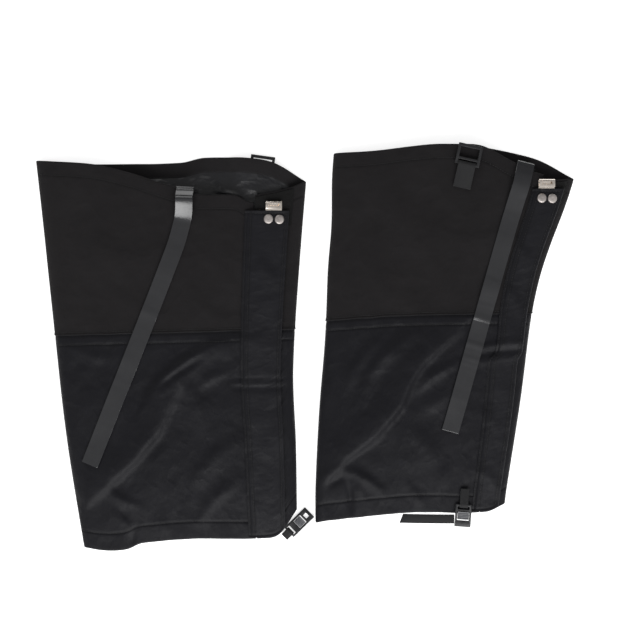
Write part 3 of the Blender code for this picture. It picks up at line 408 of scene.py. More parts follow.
def share_across(sizes, x, y):
    t = (y - sizes["calf_line"]) / sizes["length"]
    width = sizes["at"]["width"](t)
    return (x - sizes["at"]["centre"](t)) / width + 0.5


def rise(sizes, x, y):
    """Folds, plus the slow waves that no flat cloth is without."""
    f = share_across(sizes, x, y)
    height = 0.0
    for line, size, left, right in sizes["folds"]:
        away, along = across_line(line, x, y)
        reach = left if away > 0 else right
        if abs(away) < 3 * reach:
            taper = math.sin(math.pi * min(max(0.08 + 0.84 * along, 0.0), 1.0)) ** 0.7
            height += size * taper * math.exp(-(away / reach) ** 2)
    seed = 3.1 if sizes is LEFT else 8.7
    height += 0.0011 * noise.noise(Vector((x * 26, y * 17, seed)))
    height += 0.0005 * noise.noise(Vector((x * 70, y * 55, seed + 4)))
    for cx, cy, radius in quiet_spots(sizes):
        near = math.hypot(x - cx, y - cy)
        height *= fade(near, 0.6 * radius, 1.5 * radius)
    return height * fade(min(f, 1 - f), 0.0, 0.07)


print("rise by the long fold", round(1000 * rise(RIGHT, 0.104, -0.0628), 1), "mm")

# %% The cloth's own place in space
def bottom(sizes, f):
    return sizes["calf_line"] + sizes["at"]["calf_rise"](f)


def seam(sizes, f):
    return sizes["calf_line"] + sizes["at"]["seam_height"](f)


def top(sizes, edge, f):
    return sizes["calf_line"] + sizes["length"] - sizes["at"][edge + "_drop"](f)


def section(sizes, layer, f, y):
    """Middle of the shell cloth at (f, y): its x, its z and its outward direction."""
    f = min(max(f, 0.0), 1.0)
    t = (y - sizes["calf_line"]) / sizes["length"]
    width = sizes["at"]["width"](t)
    x = sizes["at"]["centre"](t) + (f - 0.5) * width
    q = min(f, 1 - f) / FOLD_SHARE
    side = 1 if f < 0.5 else -1
    steep = 0.0 if q >= 1 else (1 - q) / max(quarter(q), 0.001) / (FOLD_SHARE * width)
    if layer == "back":
        aside = (x - sizes["lift_middle"]) / LIFT_HALF_WIDTH
        lift = sizes["at"]["lift"](y) * math.exp(-aside ** 6)
        z = CLOTH / 2 + BACK_RISE * (1 - quarter(q)) + lift
        out = Vector((-side * BACK_RISE * steep, 0, -1)).normalized()
    else:
        puff = sizes["at"]["puff"](t)
        z = CLOTH / 2 + BACK_RISE + PANEL_GAP
        z += puff * (FRONT_RISE * quarter(q) + CROWN * math.sin(math.pi * f))
        lean = side * FRONT_RISE * steep + CROWN * math.pi / width * math.cos(math.pi * f)
        out = Vector((-puff * lean, 0, 1)).normalized()
    return x, z, out


def place_on(sizes, layer, f, y, offset, with_rise=True):
    """A point of the layer, offset outwards, in the frame's own coordinates."""
    x, z, out = section(sizes, layer, f, y)
    point = Vector((x, y, z)) + out * offset
    if layer == "front" and with_rise:
        point.z += rise(sizes, x, y)
    return point + FRAME_SHIFT


def flat_frame(sizes, x, y):
    """A placing matrix on the shell's middle, as the frame's rivets use it."""
    step = 0.004

    def at(px, py):
        return place_on(sizes, "front", share_across(sizes, px, py), py, 0, with_rise=False)

    middle = at(x, y)
    along = (at(x, y + step) - middle).normalized()
    out = (at(x + step, y) - middle).cross(along).normalized()
    turn = Matrix((along.cross(out), along, out)).transposed().to_4x4()
    return Matrix.Translation(middle) @ turn


def front_height(sizes, x, y):
    """Height of the front layer's outer face over a point of the plan."""
    z = section(sizes, "front", share_across(sizes, x, y), y)[1]
    return z + SHELL_OUT + rise(sizes, x, y)


for sizes in GAITERS:
    middle = place_on(sizes, "front", 0.5, 0.0, 0.0)
    print(sizes["side"], "front layer at mid length", [round(v, 4) for v in middle])

# %% [markdown]
# ## Effects that several finishes share
# Weave, crumpling, sewn lines, dust and handling marks each become one node group, built once.
# A group has named inputs, so each finish sets its own scale and strength. Groups give out only
# heights and masks. The shader and its constant settings stay in the material.

# %% A small helper for building node groups
def new_group(name, inputs, outputs):
    """A node group with float or vector sockets, given as {name: default}."""
    group = bpy.data.node_groups.new(name, "ShaderNodeTree")
    for label, value in inputs.items():
        kind = "NodeSocketVector" if value is None else "NodeSocketFloat"
        socket = group.interface.new_socket(name=label, in_out="INPUT", socket_type=kind)
        if value is not None:
            socket.default_value = value
    for label in outputs:
        group.interface.new_socket(name=label, in_out="OUTPUT", socket_type="NodeSocketFloat")
    return group, group.nodes.new("NodeGroupInput"), group.nodes.new("NodeGroupOutput")


def feed(tree, source, socket):
    """Link an output to a socket, or set the socket to a number."""
    if isinstance(source, (int, float)):
        socket.default_value = source
    elif source is not None:
        tree.links.new(source, socket)


def sum_of(tree, operation, a, b=None, c=None, clamp=False):
    node = tree.nodes.new("ShaderNodeMath")
    node.operation = operation
    node.use_clamp = clamp
    for value, socket in zip((a, b, c), node.inputs):
        feed(tree, value, socket)
    return node.outputs[0]


def step_between(tree, value, low, high, to_low=0.0, to_high=1.0):
    node = tree.nodes.new("ShaderNodeMapRange")
    node.interpolation_type = "SMOOTHSTEP"
    for number, socket in zip((value, low, high, to_low, to_high), node.inputs):
        feed(tree, number, socket)
    return node.outputs[0]


def noise_of(tree, vector, scale, detail=2.0, roughness=0.5):
    node = tree.nodes.new("ShaderNodeTexNoise")
    tree.links.new(vector, node.inputs["Vector"])
    feed(tree, scale, node.inputs["Scale"])
    node.inputs["Detail"].default_value = detail
    node.inputs["Roughness"].default_value = roughness
    return node.outputs[0]


def place_scaled(tree, vector, x, y, z=1.0):
    node = tree.nodes.new("ShaderNodeMapping")
    tree.links.new(vector, node.inputs["Vector"])
    node.inputs["Scale"].default_value = (x, y, z)
    return node.outputs[0]

# %% Woven threads
weave, said, gives = new_group("woven_threads",
                               {"Vector": None, "Threads per metre": 2000.0, "Uneven": 0.3},
                               ("Height", "Thread"))
waved = noise_of(weave, said.outputs["Vector"], 90.0, 3.0)
bent = weave.nodes.new("ShaderNodeVectorMath")
bent.operation = "MULTIPLY_ADD"
weave.links.new(said.outputs["Vector"], bent.inputs[0])
bent.inputs[1].default_value = (1.0, 1.0, 1.0)
slight = weave.nodes.new("ShaderNodeCombineXYZ")
small_wave = sum_of(weave, "MULTIPLY", waved, 0.0006)
for socket in slight.inputs:
    weave.links.new(small_wave, socket)
weave.links.new(slight.outputs[0], bent.inputs[2])
parts = weave.nodes.new("ShaderNodeSeparateXYZ")
weave.links.new(bent.outputs[0], parts.inputs[0])
turns = sum_of(weave, "MULTIPLY", said.outputs["Threads per metre"], math.pi)
over = sum_of(weave, "SINE", sum_of(weave, "MULTIPLY", parts.outputs["X"], turns))
under = sum_of(weave, "SINE", sum_of(weave, "MULTIPLY", parts.outputs["Y"], turns))
crossing = sum_of(weave, "MULTIPLY", over, under)
warp = sum_of(weave, "ABSOLUTE", over)
weft = sum_of(weave, "ABSOLUTE", under)
on_top = step_between(weave, crossing, -0.15, 0.15)
mixed = weave.nodes.new("ShaderNodeMix")
feed(weave, on_top, mixed.inputs["Factor"])
feed(weave, warp, mixed.inputs["A"])
feed(weave, weft, mixed.inputs["B"])
slub = noise_of(weave, place_scaled(weave, said.outputs["Vector"], 1.0, 0.12), 900.0, 2.0)
slubbed = sum_of(weave, "MULTIPLY", sum_of(weave, "SUBTRACT", slub, 0.5),
                 said.outputs["Uneven"])
weave.links.new(sum_of(weave, "ADD", mixed.outputs["Result"], slubbed), gives.inputs["Height"])
weave.links.new(on_top, gives.inputs["Thread"])

# %% Crumpled cloth
crumple, said, gives = new_group("crumpled_cloth",
                                 {"Vector": None, "Scale": 30.0, "Along": 1.0}, ("Height",))
long_way = crumple.nodes.new("ShaderNodeCombineXYZ")
crumple.links.new(said.outputs["Along"], long_way.inputs["X"])
long_way.inputs["Y"].default_value = 1.0
long_way.inputs["Z"].default_value = 1.0
drawn = crumple.nodes.new("ShaderNodeVectorMath")
drawn.operation = "MULTIPLY"
crumple.links.new(said.outputs["Vector"], drawn.inputs[0])
crumple.links.new(long_way.outputs[0], drawn.inputs[1])
broad = noise_of(crumple, drawn.outputs[0], said.outputs["Scale"], 2.0, 0.45)
ridge = sum_of(crumple, "ABSOLUTE", sum_of(crumple, "SUBTRACT", broad, 0.5))
sharp = sum_of(crumple, "SUBTRACT", 1.0, sum_of(crumple, "MULTIPLY", ridge, 5.0), clamp=True)
fine = noise_of(crumple, drawn.outputs[0],
                sum_of(crumple, "MULTIPLY", said.outputs["Scale"], 3.4), 3.0)
both = sum_of(crumple, "MULTIPLY_ADD", fine, 0.4, sum_of(crumple, "MULTIPLY", sharp, 0.35))
crumple.links.new(sum_of(crumple, "MULTIPLY_ADD", broad, 0.9, both), gives.inputs["Height"])

# %% A line of stitches pulled into cloth
sewn, said, gives = new_group("sewn_line",
                              {"Vector": None, "Distance": 0.0, "Half width": 0.0016,
                               "Pucker": 0.5}, ("Height", "Shade"))
away = sum_of(sewn, "DIVIDE", said.outputs["Distance"], said.outputs["Half width"])
groove = sum_of(sewn, "EXPONENT", sum_of(sewn, "MULTIPLY",
                                         sum_of(sewn, "MULTIPLY", away, away), -1.0))
wide = sum_of(sewn, "EXPONENT", sum_of(sewn, "MULTIPLY",
                                       sum_of(sewn, "MULTIPLY", away, away), -0.05))
pucker = noise_of(sewn, place_scaled(sewn, said.outputs["Vector"], 1.0, 0.25), 190.0, 2.0)
pulled = sum_of(sewn, "MULTIPLY", sum_of(sewn, "MULTIPLY", sum_of(sewn, "SUBTRACT", pucker, 0.5),
                                         wide), said.outputs["Pucker"])
sewn.links.new(sum_of(sewn, "SUBTRACT", sum_of(sewn, "MULTIPLY", pulled, 2.2), groove),
               gives.inputs["Height"])
# Shade is the groove's mask, and the cloth finishes use it to paint shade into the groove.
sewn.links.new(groove, gives.inputs["Shade"])

# %% Dust and lint
dust, said, gives = new_group("dust_and_lint", {"Vector": None, "Amount": 0.3}, ("Mask",))
patchy = step_between(dust, noise_of(dust, said.outputs["Vector"], 22.0, 4.0), 0.45, 0.75)
specks = dust.nodes.new("ShaderNodeTexVoronoi")
dust.links.new(said.outputs["Vector"], specks.inputs["Vector"])
specks.inputs["Scale"].default_value = 120.0
dots = step_between(dust, specks.outputs["Distance"], 0.035, 0.06, 1.0, 0.0)
rare = step_between(dust, noise_of(dust, said.outputs["Vector"], 31.0, 0.0), 0.66, 0.70)
lint = sum_of(dust, "MULTIPLY", dots, rare)
veil = sum_of(dust, "MULTIPLY", patchy, said.outputs["Amount"])
dust.links.new(sum_of(dust, "MAXIMUM", lint, veil), gives.inputs["Mask"])

# %% Handling marks on hard parts
wear, said, gives = new_group("handling_marks", {"Vector": None, "Scale": 400.0},
                              ("Scratch", "Smear"))
scratch = noise_of(wear, place_scaled(wear, said.outputs["Vector"], 1.0, 0.08, 1.0),
                   said.outputs["Scale"], 4.0)
wear.links.new(step_between(wear, scratch, 0.58, 0.72), gives.inputs["Scratch"])
wear.links.new(noise_of(wear, said.outputs["Vector"], 130.0, 2.0), gives.inputs["Smear"])
print("node groups", sorted(g.name for g in bpy.data.node_groups))

# %% [markdown]
# ## Finishes
# Every finish starts from one Principled shader with its constant settings. In all but the
# thread, a height in metres, made of several effects, goes through one Bump node. Cloth reads
# its own UV map, laid out in metres, so the threads turn with the cloth. Hard parts and the
# thread read Object coordinates.

# %% Helpers for a finish
def new_finish(name, colour, roughness, specular=0.5, metallic=0.0, sheen=0.0, coat=0.0):
    """A material and its tree, with the settings that are the same all over."""
    material = bpy.data.materials.new(name)
    material.use_nodes = True
    shader = shader_of(material)
    shader.inputs["Base Color"].default_value = (*colour, 1.0)
    shader.inputs["Roughness"].default_value = roughness
    shader.inputs["Specular IOR Level"].default_value = specular
    shader.inputs["Metallic"].default_value = metallic
    shader.inputs["Sheen Weight"].default_value = sheen
    shader.inputs["Sheen Roughness"].default_value = 0.45
    shader.inputs["Coat Weight"].default_value = coat
    shader.inputs["Coat Roughness"].default_value = 0.18
    return material, material.node_tree


def own_uv(tree):
    node = tree.nodes.new("ShaderNodeUVMap")
    node.uv_map = "cloth"
    return node.outputs[0]


def object_place(tree, turn=0.0):
    """Object coordinates, turned about Z so that a pattern runs along a piece."""
    node = tree.nodes.new("ShaderNodeTexCoord")
    mapping = tree.nodes.new("ShaderNodeMapping")
    tree.links.new(node.outputs["Object"], mapping.inputs["Vector"])
    mapping.inputs["Rotation"].default_value = (0.0, 0.0, math.radians(turn))
    return mapping.outputs[0]


def effect(tree, name, vector, **values):
    """One of the shared node groups, placed in a material with its own values."""
    node = tree.nodes.new("ShaderNodeGroup")
    node.node_tree = bpy.data.node_groups[name]
    tree.links.new(vector, node.inputs["Vector"])
    for label, value in values.items():
        feed(tree, value, node.inputs[label.replace("_", " ")])
    return node


def shaded(tree, mask, colour_a, colour_b):
    node = tree.nodes.new("ShaderNodeMix")
    node.data_type = "RGBA"
    feed(tree, mask, node.inputs[0])
    for colour, socket in ((colour_a, node.inputs[6]), (colour_b, node.inputs[7])):
        if isinstance(colour, tuple):
            socket.default_value = (*colour, 1.0)
        else:
            tree.links.new(colour, socket)
    return node.outputs[2]


def raise_surface(tree, heights):
    """Sum of (height, metres) pairs, sent to the shader's normal."""
    total = 0.0
    for height, size in heights:
        total = sum_of(tree, "MULTIPLY_ADD", height, size, total)
    bump = tree.nodes.new("ShaderNodeBump")
    bump.inputs["Distance"].default_value = 1.0
    tree.links.new(total, bump.inputs["Height"])
    tree.links.new(bump.outputs[0], tree.nodes["Principled BSDF"].inputs["Normal"])


def distance_along(tree, attribute, line):
    """Distance from a line of stitches that lies a set way in from an edge."""
    node = tree.nodes.new("ShaderNodeAttribute")
    node.attribute_name = attribute
    return sum_of(tree, "SUBTRACT", node.outputs["Fac"], line)


# %% Cloth finishes
def cloth_finish(name, colour, roughness, specular, sheen, threads, thread_depth, crumple,
                 lines, dust=0.25, uneven=0.5):
    """Woven cloth. Crumple is (scale, along, height), and lines are (attribute, place)."""
    material, tree = new_finish(name, colour, roughness, specular, sheen=sheen)
    uv = own_uv(tree)
    threads = effect(tree, "woven_threads", uv, Threads_per_metre=threads, Uneven=uneven)
    creased = effect(tree, "crumpled_cloth", uv, Scale=crumple[0], Along=crumple[1])
    dusty = effect(tree, "dust_and_lint", uv, Amount=dust)
    heights = [(threads.outputs["Height"], thread_depth), (creased.outputs["Height"], crumple[2])]
    worn = tuple(min(c * 1.9 + 0.004, 1.0) for c in colour)
    # The colour of the painted shade in the grooves of the sewn lines.
    dark = tuple(c * 0.62 for c in colour)
    shade = shaded(tree, threads.outputs["Thread"], tuple(c * 0.86 for c in colour),
                   tuple(c * 1.12 for c in colour))
    # Painted highlight: the cloth is painted lighter where its crumples stand higher.
    shade = shaded(tree, sum_of(tree, "MULTIPLY", creased.outputs["Height"], 0.35), shade,
                   tuple(c * 1.35 for c in colour))
    # Painted shade: each sewn line's groove is painted darker, as well as pressed in.
    for attribute, line in lines:
        sewn_in = effect(tree, "sewn_line", uv, Pucker=0.55,
                         Distance=distance_along(tree, attribute, line))
        heights.append((sewn_in.outputs["Height"], 0.00042))
        shade = shaded(tree, sum_of(tree, "MULTIPLY", sewn_in.outputs["Shade"], 0.75), shade, dark)
    shade = shaded(tree, sum_of(tree, "MULTIPLY", dusty.outputs["Mask"], 0.5), shade, worn)
    tree.links.new(shade, shader_of(material).inputs["Base Color"])
    raise_surface(tree, heights)
    return material


heavy_cloth = cloth_finish("heavy_cloth", (0.0132, 0.0121, 0.0128), 0.88, 0.10, 0.10, 1500,
                           0.00012, (24.0, 1.0, 0.0024),
                           [("from_edge", 0.0150), ("from_seam", 0.0026)])
calf_nylon = cloth_finish("calf_nylon", (0.0058, 0.0057, 0.0076), 0.46, 0.15, 0.08, 3200,
                          0.00003, (30.0, 1.4, 0.0011),
                          [("from_edge", 0.0190), ("from_seam", 0.0012),
                           ("from_seam", 0.0110)])
flap_nylon = cloth_finish("flap_nylon", (0.0066, 0.0065, 0.0086), 0.48, 0.17, 0.08, 3200,
                          0.00003, (46.0, 0.7, 0.0009),
                          [("from_edge", 0.0018), ("from_edge", 0.0066),
                           ("from_seam", 0.0030)])
mouth_lining = cloth_finish("mouth_lining", (0.0070, 0.0070, 0.0086), 0.34, 0.45, 0.0, 3600,
                            0.00002, (62.0, 0.8, 0.0016), [])
print("cloth finishes", heavy_cloth.name, calf_nylon.name, flap_nylon.name, mouth_lining.name)

# %% Hook tape, loop pile and elastic
def tape_finish(name, colour, scale, depth, stretch):
    material, tree = new_finish(name, colour, 0.95, 0.12, sheen=0.25)
    uv = own_uv(tree)
    tufts = tree.nodes.new("ShaderNodeTexVoronoi")
    tree.links.new(place_scaled(tree, uv, stretch, 1.0), tufts.inputs["Vector"])
    tufts.inputs["Scale"].default_value = scale
    fluff = noise_of(tree, uv, scale * 2.5, 3.0)
    raised = sum_of(tree, "SUBTRACT", fluff, tufts.outputs["Distance"])
    # Partly painted light: the pile is painted lighter where its fluff stands higher and darker where it
    # sinks, on top of a tone that varies at random.
    tree.links.new(shaded(tree, fluff, tuple(c * 0.35 for c in colour),
                          tuple(c * 1.8 for c in colour)),
                   shader_of(material).inputs["Base Color"])
    raise_surface(tree, [(raised, depth)])
    return material


loop_pile = tape_finish("loop_pile", (0.0060, 0.0058, 0.0058), 900.0, 0.0006, 1.0)
hook_stems = tape_finish("hook_stems", (0.0080, 0.0080, 0.0085), 620.0, 0.0005, 1.0)
elastic_rib = tape_finish("elastic_rib", (0.0150, 0.0150, 0.0160), 700.0, 0.0003, 0.15)

# %% Strap, webbing and thread
def strap_finish():
    """A coated strap: smooth and dark, so it shows the light panels as broad reflections."""
    material, tree = new_finish("coated_strap", (0.0115, 0.0118, 0.0140), 0.13, 0.70, coat=0.35)
    uv = own_uv(tree)
    threads = effect(tree, "woven_threads", uv, Threads_per_metre=1700, Uneven=0.2)
    marks = effect(tree, "handling_marks", uv, Scale=260.0)
    tree.links.new(shaded(tree, marks.outputs["Smear"], (0.0098, 0.0100, 0.0120),
                          (0.0140, 0.0143, 0.0168)), shader_of(material).inputs["Base Color"])
    tree.links.new(step_between(tree, marks.outputs["Smear"], 0.3, 0.7, 0.13, 0.19),
                   shader_of(material).inputs["Roughness"])
    raise_surface(tree, [(threads.outputs["Height"], 0.000014),
                         (marks.outputs["Scratch"], 0.00001)])
    return material


def webbing_finish(name, colour, turn=None):
    """Ribbed webbing. With no turn it reads the piece's own UV map."""
    material, tree = new_finish(name, colour, 0.62, 0.30, sheen=0.1)
    place = own_uv(tree) if turn is None else object_place(tree, turn)
    threads = effect(tree, "woven_threads", place, Threads_per_metre=1300, Uneven=0.5)
    tree.links.new(shaded(tree, threads.outputs["Thread"], tuple(c * 0.7 for c in colour),
                          tuple(c * 1.3 for c in colour)),
                   shader_of(material).inputs["Base Color"])
    raise_surface(tree, [(threads.outputs["Height"], 0.00012)])
    return material


coated_strap = strap_finish()
draw_webbing = webbing_finish("draw_webbing", (0.0110, 0.0110, 0.0120))
thread_finish, tree = new_finish("sewing_thread", (0.0125, 0.0125, 0.0135), 0.45, 0.35)
twist = object_place(tree, 45.0)
twisted = noise_of(tree, place_scaled(tree, twist, 1.0, 0.3), 3000.0, 1.0)
tree.links.new(shaded(tree, twisted, (0.0080, 0.0080, 0.0085), (0.0210, 0.0210, 0.0225)),
               shader_of(thread_finish).inputs["Base Color"])

# %% Moulded plastic and plated metal
def hard_finish(name, colour, roughness, specular, metallic, grain, scratch_colour):
    material, tree = new_finish(name, colour, roughness, specular, metallic)
    place = object_place(tree, 20.0)
    marks = effect(tree, "handling_marks", place, Scale=520.0)
    pebble = noise_of(tree, place, 2600.0, 2.0)
    tree.links.new(shaded(tree, sum_of(tree, "MULTIPLY", marks.outputs["Scratch"], 0.6), colour,
                          scratch_colour), shader_of(material).inputs["Base Color"])
    tree.links.new(step_between(tree, marks.outputs["Smear"], 0.3, 0.7, roughness * 0.8,
                                min(roughness * 1.3, 1.0)),
                   shader_of(material).inputs["Roughness"])
    raise_surface(tree, [(pebble, grain), (marks.outputs["Scratch"], -0.00001)])
    return material


buckle_plastic = hard_finish("buckle_plastic", (0.0110, 0.0110, 0.0125), 0.34, 0.5, 0.0,
                             0.00003, (0.030, 0.030, 0.033))
cam_plastic = hard_finish("cam_plastic", (0.0900, 0.0920, 0.1000), 0.42, 0.5, 0.0, 0.00004,
                          (0.160, 0.160, 0.170))
plated_nickel = hard_finish("plated_nickel", (0.500, 0.460, 0.440), 0.50, 0.5, 1.0, 0.00001,
                            (0.420, 0.380, 0.360))
bright_plate = hard_finish("bright_plate", (0.900, 0.820, 0.740), 0.24, 0.5, 1.0, 0.00001,
                           (0.860, 0.780, 0.700))
print("finishes", len(bpy.data.materials))

# %% [markdown]
# ## Cutting and laying the cloth
# Each cloth piece starts as a flat grid, one square per few millimetres, and every point is
# then laid where the flattened tube has it. The boot cloth is one piece that runs from the
# closure, under the gaiter, round the rear fold and over the top. Its mouth edge is turned in
# and runs back down inside, so the hem is a true fold and not a drawn line.

# %% Laying a grid of points
def finish_piece(piece, finish, slot_name, smooth_angle=60.0):
    nothing_selected()
    piece.select_set(True)
    bpy.context.view_layer.objects.active = piece
    piece.data.materials.clear()
    piece.data.materials.append(finish)
    bpy.ops.object.shade_smooth_by_angle(angle=math.radians(smooth_angle))
    return piece


def laid_sheet(name, points, uvs, thickness, finish, slot_name, edges=None, seams=None):
    """A grid laid on points[row][column], with a UV map in metres, given its thickness."""
    rows, cols = len(points), len(points[0])
    nothing_selected()
    bpy.ops.mesh.primitive_grid_add(x_subdivisions=cols - 1, y_subdivisions=rows - 1, size=1.0,
                                    calc_uvs=False)
    piece = bpy.context.active_object
    piece.name = name
    mesh = piece.data
    flat = np.empty(len(mesh.vertices) * 3)
    mesh.vertices.foreach_get("co", flat)
    flat = flat.reshape(-1, 3)
    column = np.rint((flat[:, 0] + 0.5) * (cols - 1)).astype(int)
    row = np.rint((flat[:, 1] + 0.5) * (rows - 1)).astype(int)
    laid = np.array([[tuple(p) for p in line] for line in points])
    mesh.vertices.foreach_set("co", laid[row, column].ravel())
    for label, values in (("from_edge", edges), ("from_seam", seams)):
        if values is not None:
            attribute = mesh.attributes.new(label, "FLOAT", "POINT")
            attribute.data.foreach_set("value", np.array(values)[row, column].ravel())
    layer = mesh.uv_layers.new(name="cloth")
    corner = np.empty(len(mesh.loops), dtype=np.int32)
    mesh.loops.foreach_get("vertex_index", corner)
    flat_uv = np.array(uvs)[row[corner], column[corner]]
    layer.data.foreach_set("uv", flat_uv.ravel())
    mesh.update()
    modifier = piece.modifiers.new("thickness", "SOLIDIFY")
    modifier.thickness = thickness
    modifier.offset = 0.0
    bpy.context.view_layer.objects.active = piece
    bpy.ops.object.modifier_apply(modifier=modifier.name)
    return finish_piece(piece, finish, slot_name)


def lengths_along(points):
    """Running length of a line of points, from 0."""
    total = [0.0]
    for a, b in zip(points, points[1:]):
        total.append(total[-1] + (Vector(b) - Vector(a)).length)
    return total


# %% The columns that run round a gaiter
def fold_in(count):
    """Shares near a fold, closer together where the cloth curls."""
    return [FOLD_SHARE * (1 - math.cos(math.pi / 2 * k / count)) for k in range(count)]


def wrapped_columns(sizes):
    """(layer, edge, share) from the placket, under the gaiter, and over to the closure."""
    start = sizes["flap"][0] + FLAP_MARGIN
    curl = fold_in(7)
    placket = spread(start + 0.004, 1 - FOLD_SHARE, 12) + [1 - f for f in reversed(curl)]
    under = curl + spread(FOLD_SHARE, 1 - FOLD_SHARE, 56) + [1 - f for f in reversed(curl)]
    over = curl + spread(FOLD_SHARE, start, 84)
    columns = [("front", "placket", f) for f in placket]
    columns += [("back", "back", f) for f in reversed(under)]
    return columns + [("front", "front", f) for f in over]


def mouth_line(sizes, edge, f):
    """The mouth edge, which is slightly wavy, and meets itself at the closure fold."""
    y = top(sizes, edge, f)
    if edge == "placket":
        y += (top(sizes, "back", 1.0) - top(sizes, "placket", 1.0)) * fade(f, 0.9, 1.0)
    return y + 0.0006 * noise.noise(Vector((f * 9, 0.4, sizes["length"] * 31)))


def calf_line(sizes, f):
    return bottom(sizes, f) + 0.0010 * noise.noise(Vector((f * 12, 2.4, sizes["length"] * 47)))


def seam_line(sizes, f):
    return seam(sizes, f) + 0.0005 * noise.noise(Vector((f * 14, 5.4, sizes["length"] * 11)))


def squeeze(f):
    """Inner plies lie closer to the shell in the tight side folds."""
    return 0.5 + 0.5 * fade(min(f, 1 - f), 0.0, 0.03)


MOUTH_TURN = [(0.0012, 0.0), (0.0005, -0.00013), (0.0, -0.00065), (0.0005, -0.00117),
              (0.0012, -0.0013), (0.0050, -0.0013), (0.0105, -0.0013), (HEM_DEPTH, -0.0013)]
CALF_TURN = [(CALF_HEM_DEPTH, -0.0027), (0.0120, -0.0027), (0.0040, -0.0027),
             (0.0013, -0.0026), (0.0004, -0.0022), (0.0, -0.00135), (0.0004, -0.0004),
             (0.0013, 0.0)]
print("columns round a gaiter", len(wrapped_columns(LEFT)))

# %% Boot cloth and calf cloth
def lay_rows(sizes, columns, rows_at):
    """Points, UVs and edge distances for columns. rows_at gives (y, offset, edge, seam)."""
    points, edges, seams = [], [], []
    count = len(rows_at(*columns[0]))
    table = [rows_at(*column) for column in columns]
    for r in range(count):
        line = [place_on(sizes, layer, f, table[c][r][0], table[c][r][1])
                for c, (layer, _, f) in enumerate(columns)]
        for p in line:
            p.z = max(p.z, FLOOR_CLEARANCE)
        points.append(line)
        edges.append([table[c][r][2] for c in range(len(columns))])
        seams.append([table[c][r][3] for c in range(len(columns))])
    middle = lengths_along(points[count // 2])
    ups = [lengths_along([points[r][c] for r in range(count)]) for c in range(len(columns))]
    uvs = [[(middle[c], ups[c][r]) for c in range(len(columns))] for r in range(count)]
    return points, uvs, edges, seams


def boot_rows(sizes):
    shares = spread(0, 1, 46)

    def rows_at(layer, edge, f):
        low = seam_line(sizes, f)
        high = mouth_line(sizes, edge, f)
        rows = []
        for s in shares:
            y = low + (high - 0.0016 - low) * s
            step = 0.0007 * (1 - fade(y - low, 0.0, 0.0035))
            rows.append((y, step, high - y, y - low))
        rows += [(high - d, o * squeeze(f), -0.004 if o < -0.001 else d, 0.09)
                 for d, o in MOUTH_TURN]
        rows[-1] = (*rows[-1][:2], -HEM_DEPTH, 0.09)
        return rows
    return rows_at


def calf_rows(sizes):
    shares = spread(0, 1, 78)

    def rows_at(layer, edge, f):
        low = calf_line(sizes, f)
        high = seam_line(sizes, f)
        rows = [(low + h, o * squeeze(f), -0.004, high - low) for h, o in CALF_TURN]
        for s in shares:
            y = low + 0.0018 + (high + 0.006 - low - 0.0018) * s
            tuck = -0.0005 * fade(y, high - 0.004, high + 0.001)
            rows.append((y, tuck, y - low, high - y))
        return rows
    return rows_at


for sizes in GAITERS:
    side = sizes["side"]
    columns = wrapped_columns(sizes)
    for kind, rows_at, finish, slot_name, thickness in (
            ("boot", boot_rows(sizes), heavy_cloth, "boot_cloth", 0.0010),
            ("calf", calf_rows(sizes), calf_nylon, "calf_nylon", 0.0008)):
        points, uvs, edges, seams = lay_rows(sizes, columns, rows_at)
        piece = laid_sheet(f"{side}_{kind}_cloth", points, uvs, thickness, finish, slot_name,
                           edges, seams)
        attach(piece, side + "_gaiter")
        flat = (uvs[0][-1][0], max(uv[1] for uv in uvs[-1]))
        sizes[kind + "_flat"] = flat
        sizes[kind + "_piece"] = piece
        print(piece.name, "cut", round(flat[0], 3), "by", round(flat[1], 3), "m",
              len(piece.data.polygons), "faces")
    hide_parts(*(f"{side}_{n}" for n in (
        "boot_panel_front", "boot_panel_back", "boot_hem_front", "boot_hem_back", "placket")))
    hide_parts(*(f"{side}_{n}" for n in (
        "calf_panel_front", "calf_panel_back", "calf_hem_facing_front",
        "calf_hem_facing_back")))

# %% [markdown]
# ## Bands inside the tube
# The mouth is lined with coated cloth, which is what shines between the two layers. The draw
# strap runs in its tunnel at the calf end, a tape covers the cross seam, and an elastic gathers
# the ankle. They are sheets as well, laid a ply or two further in.

# %% Lining, seam tape, elastic and draw strap
def band(sizes, name, columns, low, high, rows, offset, thickness, finish, slot_name,
         ruffle=0.0):
    """A sheet between two lines of the shell. Ruffle stands it off the shell in creases."""
    def rows_at(layer, edge, f):
        return [(low(edge, f) + (high(edge, f) - low(edge, f)) * s, offset, 0.0, 0.0)
                for s in spread(0, 1, rows)]
    points, uvs, _, _ = lay_rows(sizes, columns, rows_at)
    if ruffle:
        for r, line in enumerate(points):
            inset = min(1.0, 4.0 * min(r, rows - r) / rows)
            for c, p in enumerate(line):
                crease = noise.noise(Vector((p.x * 34, p.y * 58, 1.7)))
                crease = 1 - min(1.0, abs(crease) * 3.2)
                swell = 0.5 + noise.noise(Vector((p.x * 21, p.y * 34, 6.2)))
                ends = min(1.0, 5.0 * min(c, len(line) - 1 - c) / len(line))
                p.z += ruffle * inset * ends * (0.55 * crease + 0.8 * max(swell, 0.0))
    piece = laid_sheet(f"{sizes['side']}_{name}_band", points, uvs, thickness, finish,
                       slot_name)
    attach(piece, sizes["side"] + "_gaiter")
    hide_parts(f"{sizes['side']}_{name}")
    cut = (uvs[0][-1][0], max(uv[1] for uv in uvs[-1]))
    print(piece.name, "cut", [round(v, 4) for v in cut])
    return piece


